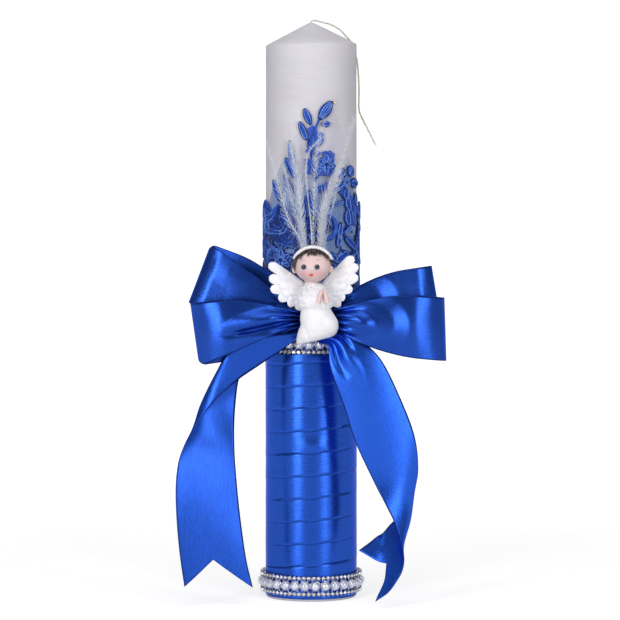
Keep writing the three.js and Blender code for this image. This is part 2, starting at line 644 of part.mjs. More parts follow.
function makePin() {
  const loop = BOW_LOOPS.find(({ name }) => name === 'lower_left');
  const root = loopPoint(loop, PIN_ALONG, PIN_ACROSS);
  const shankTip = root.y - BOW_CLOTH / 2 - SEAT_GAP;
  const radius = PIN_HEAD_DIAMETER / 2;
  const profile = [[0, 0], [PIN_SHANK_DIAMETER / 2, 0], [PIN_SHANK_DIAMETER / 2, PIN_SHANK_LENGTH]];
  const headSteps = 5;
  const start = Math.asin(PIN_SHANK_DIAMETER / 2 / radius);
  for (let k = 1; k <= headSteps; k += 1) {
    const turn = lerp(start, Math.PI, k / headSteps);
    const rise = PIN_SHANK_LENGTH + radius * (Math.cos(start) - Math.cos(turn));
    profile.push([Math.max(0, radius * Math.sin(turn)), rise]);
  }
  const pin = turned(profile, 8).rotateX(Math.PI / 2).translate(root.x, shankTip, root.z);
  addPiece('bow_pin', pin, pearlFinish);
}

// Feathers stand on the bow's knot behind the angel. Points are [x, z] from the knot, and each
// route starts at its given x on the knot's top.
const FEATHERS = [
  {
    name: 'left',
    root: -5,
    route: [[-7.4, 36], [-9.3, 50.4], [-15.8, 62], [-19.5, 72], [-24.2, 89.4], [-31, 115]],
  },
  {
    name: 'left_inner',
    root: -3.4,
    route: [[-5, 36], [-6.4, 51], [-11.9, 66.8], [-16.4, 83], [-19.7, 99]],
  },
  {
    name: 'centre_left',
    root: -1.8,
    route: [[-4.6, 36], [-7.4, 51], [-10, 82.9], [-12.6, 99], [-15.8, 114.7]],
  },
  {
    name: 'centre',
    root: -0.4,
    route: [[-1, 36], [-2.2, 60], [-4.7, 83], [-5.4, 99], [-2.8, 109], [5, 117]],
  },
  {
    name: 'tall',
    root: 1,
    route: [[0.4, 36], [-0.8, 53.6], [-0.2, 76.4], [0.5, 99], [3.7, 118.6], [6.9, 128]],
  },
  {
    name: 'right',
    root: 2.6,
    route: [[3.6, 36], [4.6, 51], [5.7, 66.7], [10.2, 83], [15.4, 96], [19.6, 100]],
  },
  {
    name: 'right_tall',
    root: 4.2,
    route: [[5.4, 36], [8.3, 53.5], [12.8, 76.3], [17.4, 99.7], [22.6, 118.6], [26.4, 131]],
  },
];
const FEATHER_STEPS = 11;
// The layer each feather lies in, from the candle forwards, and how far the first one stands off
const FEATHER_LAYERS = [3, 0, 4, 1, 5, 2, 6];
const FEATHER_STANDOFF = 2.6;

function featherSolid(feather, y) {
  const place = ([x, z]) => new THREE.Vector3(KNOT_X + x, y, KNOT_HEIGHT_Z + z);
  const foot = [feather.root, KNOT_TALL / 2 + SEAT_GAP];
  const spine = new THREE.CatmullRomCurve3([foot, ...feather.route].map(place));
  const positions = [];
  const index = [];
  for (let k = 0; k <= FEATHER_STEPS; k += 1) {
    const share = k / FEATHER_STEPS;
    const middle = spine.getPointAt(share);
    const heading = spine.getTangentAt(share);
    const side = new THREE.Vector3(heading.z, 0, -heading.x);
    const vane = Math.sin(Math.PI * clamp((share - 0.3) / 0.7, 0, 1)) ** 0.7;
    const half = 0.3 + FEATHER_WIDTH / 2 * vane;
    const thin = FEATHER_THICKNESS / 2;
    const corners = [[-half, 0], [0, -thin], [half, 0], [0, thin]];
    for (const [out, deep] of corners) {
      const corner = middle.clone().addScaledVector(side, out);
      corner.y += deep;
      positions.push(...corner.toArray());
    }
  }
  for (let k = 0; k < FEATHER_STEPS; k += 1) {
    for (let j = 0; j < 4; j += 1) {
      const [a, b] = [4 * k + j, 4 * k + (j + 1) % 4];
      index.push(a, b, b + 4, a, b + 4, a + 4);
    }
  }
  const top = 4 * FEATHER_STEPS;
  index.push(0, 2, 1, 0, 3, 2, top, top + 1, top + 2, top, top + 2, top + 3);
  const geometry = new THREE.BufferGeometry();
  geometry.setAttribute('position', new THREE.Float32BufferAttribute(positions, 3));
  geometry.setIndex(index);
  return geometry;
}

function makeFeathers() {
  const pitch = FEATHER_THICKNESS + LAYER_GAP;
  FEATHERS.forEach((feather, k) => {
    const y = knotBackY - FEATHER_STANDOFF - FEATHER_LAYERS[k] * pitch;
    addPiece(`feather_${feather.name}`, featherSolid(feather, y), featherFinish);
  });
}

// Wing outlines as [outward, z] from the angel's middle line, root first
const LEFT_WING = [
  [4.6, 211], [7.6, 213.4], [14.1, 218.2], [18.6, 220.9], [24.4, 223.9], [27.6, 224.2], [29, 222.4],
  [28.4, 219.6], [26.4, 217.5], [27.9, 215.6], [27.7, 213.8], [24.8, 210.4], [27.2, 208.4],
  [27.2, 206.4], [21.9, 202.9], [22.3, 200.6], [20.6, 199], [16.8, 199.4], [15.6, 197], [12.8, 194.5],
  [10.3, 193.8], [8.9, 196.6], [4.6, 198],
];
const RIGHT_WING = [
  [4.4, 209.3], [8.4, 213.6], [13, 219.4], [18.9, 224.6], [23.4, 228.9], [25.8, 227.9], [29.1, 224],
  [29, 222], [27.2, 218.8], [29.1, 217], [28.9, 214.8], [24.3, 210.4], [25.6, 208.6], [25.1, 206.8],
  [20.1, 203.9], [20.8, 201.6], [19.6, 200], [19.8, 197.6], [17.2, 195.8], [13, 195.1], [9, 197],
  [4.4, 199],
];

// A wing is a thin plate that leans forwards a little towards its tip.
function wingSolid(outline, side) {
  const lean = 0.1;
  const shape = new THREE.Shape(outline.map(([x, z]) => new THREE.Vector2(side * x, z)));
  const plate = new THREE.ExtrudeGeometry(shape, { depth: WING_THICKNESS, bevelEnabled: false });
  plate.rotateX(Math.PI / 2).translate(ANGEL_X, angelBackY, 0);
  const spot = plate.getAttribute('position');
  for (let k = 0; k < spot.count; k += 1) {
    const reach = Math.abs(spot.getX(k) - ANGEL_X) - outline[0][0];
    spot.setY(k, spot.getY(k) - lean * Math.max(0, reach));
  }
  return plate;
}

// [height above the robe's foot, offset in x, half width, half depth, how far its back stands forward]
const ROBE_SECTIONS = [
  [0, 2, 11, 6.2, 0], [1.6, 2.2, 12, 7.2, 0], [4.4, 2.9, 13, 8.4, 0], [10, 3.6, 13, 8.8, 0],
  [16, 3.6, 12.2, 8.4, 0], [20.6, 2.2, 10.6, 7.4, 0], [26.4, 1.4, 11, 7.4, 0.2], [33, 0.6, 9.8, 6.8, 1.2],
  [38, -0.4, 6.4, 5.2, 4], [40.4, -0.8, 3.8, 3.6, 7],
];
const NECK_OVERHANG = 1;
const ROBE_SIDES = 16;
const HEAD_SIDES = 16;
const HAIR_ROWS = 5;

function headCentre() {
  const neckTop = ROBE_BOTTOM + ROBE_SECTIONS[ROBE_SECTIONS.length - 1][0];
  const z = neckTop + SEAT_GAP + HEAD_HEIGHT / 2;
  return new THREE.Vector3(ANGEL_X, angelBackY - HEAD_LENGTH / 2 - NECK_OVERHANG, z);
}

// A point on an ellipsoid round the head: fall is measured from the crown, turn from the front.
function headPoint(extra, fall, turn) {
  const centre = headCentre();
  return new THREE.Vector3(
    centre.x + (HEAD_WIDTH / 2 + extra) * Math.sin(fall) * Math.sin(turn),
    centre.y - (HEAD_LENGTH / 2 + extra) * Math.sin(fall) * Math.cos(turn),
    centre.z + (HEAD_HEIGHT / 2 + extra) * Math.cos(fall));
}

function makeAngel() {
  const robe = ROBE_SECTIONS.map(([rise, shift, rx, ry, forward]) => (
    { x: ANGEL_X + shift, y: angelBackY - forward - ry, z: ROBE_BOTTOM + rise, rx, ry }));
  addPiece('angel_robe', stackedBody(robe, ROBE_SIDES), resin);

  const centre = headCentre();
  const head = new THREE.SphereGeometry(1, HEAD_SIDES, 12).rotateX(Math.PI / 2);
  head.scale(HEAD_WIDTH / 2, HEAD_LENGTH / 2, HEAD_HEIGHT / 2).translate(...centre.toArray());
  addPiece('angel_head', head, skin);

  const hairFall = (turn) => (75 - 28 * Math.cos(turn)) * degrees;
  const hair = (extra) => (i, j) => {
    const turn = 2 * Math.PI * j / HEAD_SIDES;
    return headPoint(extra, hairFall(turn) * i / HAIR_ROWS, turn);
  };
  const outer = hair(SEAT_GAP + HAIR_THICKNESS);
  addPiece('angel_hair', wallBetween(HAIR_ROWS, HEAD_SIDES, outer, hair(SEAT_GAP), false, true), hairPaint);

  const bandSeat = 2 * SEAT_GAP + HAIR_THICKNESS + HEADBAND_DIAMETER / 2;
  const bandSteps = 14;
  const bandEnd = 62 * degrees;
  const bandPoints = [];
  for (let k = 0; k <= bandSteps; k += 1) {
    const swing = lerp(-bandEnd, bandEnd, k / bandSteps);
    bandPoints.push(headPoint(bandSeat, Math.abs(swing), swing < 0 ? -Math.PI / 2 : Math.PI / 2));
  }
  const bandCurve = new THREE.CatmullRomCurve3(bandPoints);
  const bandSection = new THREE.Shape().absarc(0, 0, HEADBAND_DIAMETER / 2, 0, 2 * Math.PI);
  const bandOptions = { steps: bandSteps, curveSegments: 6, bevelEnabled: false, extrudePath: bandCurve };
  addPiece('angel_headband', new THREE.ExtrudeGeometry(bandSection, bandOptions), resin);

  const clearOfRobe = stackedBody(robe.map(({ x, y, z, rx, ry }) => (
    { x, y, z, rx: rx + SEAT_GAP, ry: ry + SEAT_GAP })), ROBE_SIDES);
  addPiece('angel_wing_left', cutAway(wingSolid(LEFT_WING, -1), clearOfRobe), resin);
  addPiece('angel_wing_right', cutAway(wingSolid(RIGHT_WING, 1), clearOfRobe), resin);
  addPiece('angel_hands', cutAway(handsSolid(robe), clearOfRobe), skin);
}

// The praying hands stand upright against the chest, this far above the robe's foot and to the side.
const HAND_RISE = 33;
const HAND_OFFSET = 5.4;
const HAND_DEPTH = 1.9;

function handsSolid(robe) {
  const chest = robe.find(({ z }) => z >= ROBE_BOTTOM + HAND_RISE) ?? robe[robe.length - 1];
  const side = HAND_OFFSET / chest.rx;
  const surface = chest.y - chest.ry * Math.sqrt(1 - side * side);
  const y = surface - HAND_DEPTH * 0.9;
  const sections = [[-4.6, 2, 0.6], [-3.4, 3.2, 0.9], [0, 3.2, 1], [3, 2.4, 0.8], [4.8, 1, 0.5]];
  const hands = sections.map(([rise, rx, depth]) => ({
    x: chest.x + HAND_OFFSET - 0.12 * rise, y, z: chest.z - 1 + rise, rx, ry: depth * HAND_DEPTH,
  }));
  return stackedBody(hands, 10);
}

makeCandle();
makeWickTail();
makeWrap();
makeTrim('lower_trim', lowerTrimInner, LOWER_TRIM_HEIGHT);
makeTrim('upper_trim', upperTrimInner, UPPER_TRIM_HEIGHT);
makeLace();
makeBow();
makePin();
makeFeathers();
makeAngel();

export default candle;
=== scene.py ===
"""Baptism candle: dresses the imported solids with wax, satin, lace, pearls, feathers and painted resin.

Lengths in this file are millimetres. The finished pieces are in metres, with +Z up, the candle's foot
at the origin and the decorated front facing -Y.
"""

import sys

import logging
import random
from dataclasses import dataclass, field
from enum import Enum, IntEnum
from math import acos, asin, atan2, copysign, cos, exp, hypot, pi, radians, sin, sqrt, tan, tau
from math import degrees as in_degrees
from typing import Callable, Iterable, Sequence

import bmesh
import bpy
from mathutils import Matrix, Vector, noise

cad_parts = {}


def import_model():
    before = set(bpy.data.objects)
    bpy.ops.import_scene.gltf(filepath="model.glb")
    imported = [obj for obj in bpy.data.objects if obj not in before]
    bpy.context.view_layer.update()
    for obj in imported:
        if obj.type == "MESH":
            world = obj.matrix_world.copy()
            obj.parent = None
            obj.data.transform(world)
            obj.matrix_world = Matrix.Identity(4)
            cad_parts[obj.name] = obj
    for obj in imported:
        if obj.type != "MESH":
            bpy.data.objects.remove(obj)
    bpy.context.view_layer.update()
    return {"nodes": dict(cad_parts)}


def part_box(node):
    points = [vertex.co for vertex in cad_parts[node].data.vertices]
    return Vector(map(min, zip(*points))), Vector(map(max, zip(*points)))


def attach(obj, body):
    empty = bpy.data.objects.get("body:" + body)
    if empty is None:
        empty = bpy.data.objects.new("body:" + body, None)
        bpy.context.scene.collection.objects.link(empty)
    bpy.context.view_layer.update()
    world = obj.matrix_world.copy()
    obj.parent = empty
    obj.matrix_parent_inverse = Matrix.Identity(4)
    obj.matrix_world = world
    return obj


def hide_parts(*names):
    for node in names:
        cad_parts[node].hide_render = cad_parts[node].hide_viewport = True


LOG = logging.getLogger("baptism_candle")
MM = 0.001
BODY = "root"
WEAVE = "Weave"
TOUCH = 1e-4

Flat = tuple[float, float]
Spot = tuple[float, float, float]
Colour = tuple[float, float, float]
Four = tuple[float, float, float, float]
Five = tuple[float, float, float, float, float]
Place = Callable[[float, float], Vector]
BMesh = bmesh.types.BMesh
Material = bpy.types.Material
Piece = bpy.types.Object
Socket = bpy.types.NodeSocket
Vert = bmesh.types.BMVert


class Side(IntEnum):
    """A side of the candle, as the photograph shows it."""

    LEFT = -1
    RIGHT = 1


# Small helpers


def clamp(value: float, low: float = 0.0, high: float = 1.0) -> float:
    """Keeps a number between two limits."""
    return max(low, min(high, value))


def lerp(start: float, end: float, share: float) -> float:
    """Gives the number at a share of the way from start to end."""
    return start + (end - start) * share


def smoothstep(low: float, high: float, value: float) -> float:
    """Rises smoothly from 0 at low to 1 at high."""
    t = clamp((value - low) / (high - low))
    return t * t * (3 - 2 * t)


def bell(value: float, middle: float, width: float) -> float:
    """Gives 1 at the middle and less towards both sides, about a third at the width."""
    return exp(-(((value - middle) / width) ** 2))


def waver(x: float, y: float, z: float) -> float:
    """Gives a smooth noise at a place, about -1 to 1."""
    return noise.noise(Vector((x, y, z)))


def rounded(value: float) -> float:
    """Gives the height of a round arch at a place across it, from -1 to 1."""
    return sqrt(max(0.0, 1 - value * value))


def half_turn(degrees: float) -> float:
    """Brings an angle between -180 and 180 degrees."""
    return (degrees + 180) % 360 - 180


def around(radius: float, degrees: float, height: float) -> Vector:
    """Gives a point round the candle, its angle measured from the front towards +X."""
    angle = radians(degrees)
    return Vector((radius * sin(angle), -radius * cos(angle), height))


def through(a: Vector, b: Vector, c: Vector, d: Vector, share: float) -> Vector:
    """Gives a point on the smooth way from b to c, which comes from a and goes on to d.

    Args:
        a: the point before.
        b: where the way starts.
        c: where it ends.
        d: the point after.
        share: how far along it, from 0 to 1.

    Returns:
        The point.
    """
    bend, swing = 2 * a - 5 * b + 4 * c - d, 3 * b - a - 3 * c + d
    return 0.5 * (2 * b + (c - a) * share + bend * share**2 + swing * share**3)


def smooth_line(points: Sequence[Sequence[float]], count: int) -> list[Vector]:
    """Runs an even, smooth line through a few points.

    Args:
        points: the points that the line passes through.
        count: how many points the line gets.

    Returns:
        The points of the line, evenly spaced along it.
    """
    knots = [Vector(p) for p in points]
    ends = [2 * knots[0] - knots[1], *knots, 2 * knots[-1] - knots[-2]]
    fine: list[Vector] = []
    steps = 12
    for k in range(1, len(ends) - 2):
        fine += [through(*ends[k - 1 : k + 3], s / steps) for s in range(steps)]
    fine.append(knots[-1])
    reach = [0.0]
    for first, second in zip(fine, fine[1:]):
        reach.append(reach[-1] + (second - first).length)
    line: list[Vector] = []
    k = 0
    for s in range(count):
        want = reach[-1] * s / (count - 1)
        while k < len(fine) - 2 and reach[k + 1] < want:
            k += 1
        span = reach[k + 1] - reach[k]
        line.append(fine[k].lerp(fine[k + 1], clamp((want - reach[k]) / span) if span else 0.0))
    return line


@dataclass
class Track:
    """A smooth line with a steady frame along it, for tubes and ropes."""

    points: list[Vector]
    aheads: list[Vector] = field(init=False)
    sides: list[Vector] = field(init=False)

    def __post_init__(self) -> None:
        """Works out the heading and a side that turns as little as it can."""
        last = len(self.points) - 1
        ends = [(self.points[max(k - 1, 0)], self.points[min(k + 1, last)]) for k in range(last + 1)]
        self.aheads = [(after - before).normalized() for before, after in ends]
        first = Vector((0, 0, 1)) if abs(self.aheads[0].z) < 0.9 else Vector((1, 0, 0))
        side = first.cross(self.aheads[0]).normalized()
        self.sides = []
        for ahead in self.aheads:
            side = (side - ahead * side.dot(ahead)).normalized()
            self.sides.append(side)

    def at(self, share: float) -> tuple[Vector, Vector, Vector]:
        """Gives the point, the side and the up direction at a share of the line.

        Args:
            share: how far along the line, from 0 to 1.

        Returns:
            The point on the line and two directions square to it.
        """
        where = clamp(share) * (len(self.points) - 1)
        k = min(int(where), len(self.points) - 2)
        t = where - k
        point = self.points[k].lerp(self.points[k + 1], t)
        ahead = self.aheads[k].lerp(self.aheads[k + 1], t).normalized()
        side = self.sides[k].lerp(self.sides[k + 1], t)
        side = (side - ahead * side.dot(ahead)).normalized()
        return point, side, ahead.cross(side)


# Making pieces


def show(name: str, mesh: bpy.types.Mesh, finish: Material) -> Piece:
    """Puts a mesh, drawn in millimetres, in the scene as a smooth piece in metres.

    Args:
        name: the piece's name.
        mesh: its mesh, in millimetres.
        finish: its material.

    Returns:
        The new object, at the origin.
    """
    mesh.transform(Matrix.Scale(MM, 4))
    mesh.materials.clear()
    mesh.materials.append(finish)
    mesh.polygons.foreach_set("use_smooth", [True] * len(mesh.polygons))
    mesh.update()
    piece = bpy.data.objects.new(name, mesh)
    bpy.context.scene.collection.objects.link(piece)
    return piece


def from_bmesh(name: str, bm: BMesh, finish: Material) -> Piece:
    """Turns a bmesh, drawn in millimetres, into a piece and frees it."""
    mesh = bpy.data.meshes.new(name)
    bm.to_mesh(mesh)
    bm.free()
    return show(name, mesh, finish)


def shape_grid(bm: BMesh, along: int, across: int, place: Place, ring: bool = False) -> None:
    """Adds a grid to a bmesh and bends it into a surface, with its weave kept in a UV map.

    Args:
        bm: the bmesh that gets the grid.
        along: faces along the surface.
        across: faces across the surface.
        place: the point of the surface for two shares from 0 to 1.
        ring: whether the last row across meets the first.
    """
    layer = bm.loops.layers.uv.get(WEAVE) or bm.loops.layers.uv.new(WEAVE)
    made = bmesh.ops.create_grid(bm, x_segments=along, y_segments=across, size=0.5)["verts"]
    shares = {vert: (vert.co.x + 0.5, vert.co.y + 0.5) for vert in made}
    for face in {face for vert in made for face in vert.link_faces}:
        for loop in face.loops:
            loop[layer].uv = shares[loop.vert]
    for vert, (u, v) in shares.items():
        vert.co = place(u, v)
    if ring:
        bmesh.ops.remove_doubles(bm, verts=made, dist=TOUCH)


def weld(bm: BMesh, reach: float = TOUCH) -> None:
    """Joins the points of a bmesh that lie within reach of each other."""
    bmesh.ops.remove_doubles(bm, verts=bm.verts, dist=reach)


def turn_out(bm: BMesh) -> None:
    """Turns the faces of a bmesh outwards."""
    bmesh.ops.recalc_face_normals(bm, faces=bm.faces)


def close_up(bm: BMesh) -> None:
    """Fills the open rims of a bmesh and turns its faces outwards."""
    bmesh.ops.holes_fill(bm, edges=[edge for edge in bm.edges if edge.is_boundary])
    turn_out(bm)


def ball(bm: BMesh, radius: float, segments: int = 24, rings: int = 16) -> list[Vert]:
    """Adds a ball round the origin and gives its points."""
    return bmesh.ops.create_uvsphere(bm, u_segments=segments, v_segments=rings, radius=radius)["verts"]


def rod(bm: BMesh, sides: int, foot: float, top: float, tall: float, capped: bool = True) -> list[Vert]:
    """Adds an upright rod round the origin, tapered from foot to top, and gives its points."""
    made = bmesh.ops.create_cone(bm, cap_ends=capped, segments=sides, radius1=foot, radius2=top, depth=tall)
    return made["verts"]


def add_modifier(piece: Piece, kind: str, **settings: object) -> None:
    """Adds a modifier with its settings to a piece."""
    modifier = piece.modifiers.new(kind.title(), kind)
    for name, value in settings.items():
        setattr(modifier, name, value)


@dataclass
class Thread:
    """One strand of a bundle: its line and its radius along it."""

    points: list[Vector]
    radii: list[float]


def strand(points: Sequence[Vector], radius: float) -> Thread:
    """Gives a strand that is equally thick all along."""
    return Thread(list(points), [radius] * len(points))


def bundle(name: str, threads: Iterable[Thread], finish: Material, sides: int = 1) -> Piece:
    """Makes one mesh of many round strands.

    Args:
        name: the piece's name.
        threads: the strands, in millimetres.
        finish: the piece's material.
        sides: bevel resolution of a strand; 1 gives six sides.

    Returns:
        The new piece.
    """
    curve = bpy.data.curves.new(name, "CURVE")
    curve.dimensions = "3D"
    curve.bevel_depth = 1.0
    curve.bevel_resolution = sides
    curve.use_fill_caps = True
    for thread in threads:
        spline = curve.splines.new("POLY")
        spline.points.add(len(thread.points) - 1)
        for spot, point, radius in zip(spline.points, thread.points, thread.radii):
            spot.co = (*point, 1.0)
            spot.radius = radius
    holder = bpy.data.objects.new(name + "_line", curve)
    bpy.context.scene.collection.objects.link(holder)
    bpy.context.view_layer.update()
    mesh = bpy.data.meshes.new_from_object(holder.evaluated_get(bpy.context.evaluated_depsgraph_get()))
    bpy.data.objects.remove(holder)
    bpy.data.curves.remove(curve)
    return show(name, mesh, finish)


def settle(piece: Piece, nodes: Sequence[str]) -> Piece:
    """Makes a finished piece ride on the candle and stand for its solids.

    Args:
        piece: the piece.
        nodes: names of the solids that it stands for.

    Returns:
        The same piece.
    """
    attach(piece, BODY)
    if nodes:
        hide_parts(*nodes)
    solids = ", ".join(nodes) or "no solid"
    LOG.info("%s: %d faces, stands for %s", piece.name, len(piece.data.polygons), solids)
    return piece


# Finishes


class Follow(Enum):
    """What a pattern follows: the candle's own frame or the weave of a cloth."""

    OBJECT = "Object"
    WEAVE = "UV"


class Bench:
    """The shader nodes of one material, joined to one Principled shader."""

    def __init__(self, name: str, **sockets: object) -> None:
        """Starts a material.

        Args:
            name: the material's name.
            sockets: values for the shader's sockets, by socket name with underscores for spaces.
        """
        self.material = bpy.data.materials.new(name)
        self.material.use_nodes = True
        self.tree = self.material.node_tree
        self.tree.nodes.clear()
        self.shader = self.add("ShaderNodeBsdfPrincipled")
        self.output = self.add("ShaderNodeOutputMaterial")
        self.join(self.shader.outputs[0], self.output.inputs["Surface"])
        for socket, value in sockets.items():
            self.shader.inputs[socket.replace("_", " ")].default_value = value

    def add(self, kind: str, **settings: object) -> bpy.types.Node:
        """Adds a node with its settings."""
        node = self.tree.nodes.new(kind)
        for name, value in settings.items():
            setattr(node, name, value)
        return node

    def join(self, source: Socket, target: Socket) -> None:
        """Links one socket to another."""
        self.tree.links.new(source, target)

    def maths(self, operation: str, *terms: Socket | float) -> Socket:
        """Does one sum.

        Args:
            operation: the sum's kind.
            terms: sockets or plain numbers.

        Returns:
            The result's socket.
        """
        node = self.add("ShaderNodeMath", operation=operation)
        for target, term in zip(node.inputs, terms):
            if isinstance(term, Socket):
                self.join(term, target)
            else:
                target.default_value = term
        return node.outputs["Value"]

    def where(self, scale: Sequence[float], follow: Follow = Follow.OBJECT) -> Socket:
        """Gives scaled coordinates of the piece.

        Args:
            scale: how many times to repeat along each axis.
            follow: what the coordinates follow.

        Returns:
            The coordinates' socket.
        """
        mapping = self.add("ShaderNodeMapping")
        mapping.inputs["Scale"].default_value = tuple(scale)
        self.join(self.add("ShaderNodeTexCoord").outputs[follow.value], mapping.inputs["Vector"])
        return mapping.outputs["Vector"]

    def axis(self, letter: str, follow: Follow = Follow.OBJECT) -> Socket:
        """Gives one coordinate of the piece, by its letter."""
        split = self.add("ShaderNodeSeparateXYZ")
        self.join(self.where((1, 1, 1), follow), split.inputs["Vector"])
        return split.outputs[letter]

    def speckle(self, scale: Sequence[float], detail: float, follow: Follow = Follow.OBJECT) -> Socket:
        """Adds a noise and gives its height.

        Args:
            scale: how many times to repeat along each axis.
            detail: how many finer layers it has.
            follow: what the noise follows.

        Returns:
            The height's socket.
        """
        node = self.add("ShaderNodeTexNoise")
        node.inputs["Scale"].default_value = 1.0
        node.inputs["Detail"].default_value = detail
        self.join(self.where(scale, follow), node.inputs["Vector"])
        return node.outputs["Fac"]

    def cells(self, scale: float, scatter: float = 1.0, from_edge: bool = False) -> Socket:
        """Adds a pattern of cells and gives the distance in it.

        Args:
            scale: how many cells there are to a metre.
            scatter: how unlike a square grid the cells lie.
            from_edge: whether the distance is from a cell's edge rather than its middle.

        Returns:
            The distance's socket.
        """
        node = self.add("ShaderNodeTexVoronoi", feature="DISTANCE_TO_EDGE" if from_edge else "F1")
        node.inputs["Scale"].default_value = 1.0
        node.inputs["Randomness"].default_value = scatter
        self.join(self.where((scale,) * 3), node.inputs["Vector"])
        return node.outputs["Distance"]

    def ramp(self, source: Socket, stops: Sequence[tuple[float, Colour]]) -> Socket:
        """Turns a number into a colour.

        Args:
            source: the number.
            stops: places from 0 to 1 with their colours.

        Returns:
            The colour's socket.
        """
        node = self.add("ShaderNodeValToRGB")
        elements = node.color_ramp.elements
        while len(elements) < len(stops):
            elements.new(0.5)
        for element, (place, colour) in zip(elements, stops):
            element.position = place
            element.color = (*colour, 1.0)
        self.join(source, node.inputs["Fac"])
        return node.outputs["Color"]

    def paint(self, source: Socket, stops: Sequence[tuple[float, Colour]]) -> None:
        """Turns a number into the shader's own colour, by stops as for a ramp."""
        self.join(self.ramp(source, stops), self.shader.inputs["Base Color"])

    def span(
        self, source: Socket, low: float, high: float, start: float = 0, end: float = 1, smooth: bool = False
    ) -> Socket:
        """Maps a number onto another range.

        Args:
            source: the number.
            low: what the start of its range becomes.
            high: what the end of its range becomes.
            start: the start of its range.
            end: the end of its range.
            smooth: whether it eases in and out.

        Returns:
            The result's socket.
        """
        node = self.add("ShaderNodeMapRange", interpolation_type="SMOOTHSTEP" if smooth else "LINEAR")
        for name, value in (("From Min", start), ("From Max", end), ("To Min", low), ("To Max", high)):
            node.inputs[name].default_value = value
        self.join(source, node.inputs["Value"])
        return node.outputs["Result"]

    def mixed(self, first: Socket, second: Socket, share: float) -> Socket:
        """Adds a share of the second number to the first."""
        return self.maths("MULTIPLY_ADD", second, share, first)

    def relief(self, height: Socket, strength: float, depth: float) -> None:
        """Gives the shader a bump.

        Args:
            height: the height, from 0 to 1.
            strength: how strong the bump is.
            depth: its depth in millimetres.
        """
        node = self.add("ShaderNodeBump")
        node.inputs["Strength"].default_value = strength
        node.inputs["Distance"].default_value = depth * MM
        self.join(height, node.inputs["Height"])
        self.join(node.outputs["Normal"], self.shader.inputs["Normal"])


@dataclass(frozen=True)
class WaxFinish:
    """Smooth candle wax, a little lavender, with faint scuffs round it."""

    name: str = "white_wax"
    colour: Colour = (0.68, 0.66, 0.715)
    worn: Colour = (0.635, 0.61, 0.67)
    scuffed: Colour = (0.82, 0.81, 0.85)
    scuff_scale: Spot = (45, 45, 620)

    def build(self) -> Material:
        """Makes the material."""
        bench = Bench(
            self.name,
            Roughness=0.6,
            Specular_IOR_Level=0.25,
            Subsurface_Weight=0.2,
            Subsurface_Scale=0.004,
            Subsurface_Radius=(1.0, 0.8, 0.7),
        )
        scuffs = bench.speckle(self.scuff_scale, 2)
        bench.paint(
            bench.mixed(bench.speckle((22, 22, 30), 4), scuffs, 0.35),
            [(0.5, self.worn), (0.68, self.colour), (0.9, self.colour), (0.95, self.scuffed)],
        )
        bench.relief(bench.mixed(bench.speckle((120, 120, 60), 3), scuffs, 0.15), 0.15, 0.1)
        return bench.material


@dataclass(frozen=True)
class SatinFinish:
    """Royal blue satin: long floats along the ribbon and a thin dark selvedge at both edges."""

    name: str
    length: float
    width: float
    colour: Colour = (0.0145, 0.082, 0.50)
    selvedge: Colour = (0.005, 0.028, 0.20)
    roughness: float = 0.26
    selvedge_share: float = 0.018
    selvedge_blur: float = 0.006
    float_size: Flat = (2.2, 0.13)
    slub_size: Flat = (26.0, 1.1)
    grain_scale: float = 1500.0
    thin_patch: Colour = (0.66, 0.68, 0.74)
    patch_share: float = 0.3

    def build(self) -> Material:
        """Makes the material for a ribbon of the given length and width."""
        bench = Bench(
            self.name,
            Metallic=0.85,
            Specular_Tint=(0.3, 0.42, 0.85, 1.0),
            Coat_Weight=0.10,
            Coat_Roughness=0.3,
            Coat_IOR=1.5,
            Anisotropic=0.6,
            Anisotropic_Rotation=0.25,
        )
        tangent = bench.add("ShaderNodeTangent", direction_type="UV_MAP", uv_map=WEAVE)
        bench.join(tangent.outputs["Tangent"], bench.shader.inputs["Tangent"])
        floats, slubs = (
            bench.speckle((self.length / size[0], self.width / size[1], 1), detail, Follow.WEAVE)
            for size, detail in ((self.float_size, 2), (self.slub_size, 3))
        )
        grain = bench.speckle((self.grain_scale,) * 3, 1)
        off = bench.maths("ABSOLUTE", bench.maths("SUBTRACT", bench.axis("Y", Follow.WEAVE), 0.5))
        edge = 0.5 - self.selvedge_share
        blue = bench.ramp(off, [(edge - self.selvedge_blur, self.colour), (edge, self.selvedge)])
        mottle = bench.mixed(bench.mixed(slubs, grain, 1.1), slubs, -0.7)
        shade = bench.add("ShaderNodeMix", data_type="RGBA", blend_type="MULTIPLY")
        shade.inputs["Factor"].default_value = self.patch_share
        bench.join(blue, shade.inputs["A"])
        bench.join(bench.ramp(mottle, [(0.55, self.thin_patch), (0.85, (1, 1, 1))]), shade.inputs["B"])
        bench.join(shade.outputs["Result"], bench.shader.inputs["Base Color"])
        rough = bench.span(slubs, self.roughness - 0.03, self.roughness + 0.06)
        bench.join(rough, bench.shader.inputs["Roughness"])
        bench.relief(bench.mixed(bench.mixed(grain, floats, 0.35), slubs, 0.15), 0.62, 0.09)
        return bench.material

    def dress(self, name: str, bm: BMesh, thickness: float, node: str) -> Piece:
        """Makes a piece of this satin that stands for one solid.

        Args:
            name: the piece's name.
            bm: its surface.
            thickness: the cloth's thickness.
            node: the solid's name.

        Returns:
            The piece.
        """
        piece = from_bmesh(name, bm, self.build())
        add_modifier(piece, "SOLIDIFY", thickness=thickness * MM, offset=0.0)
        return settle(piece, [node])


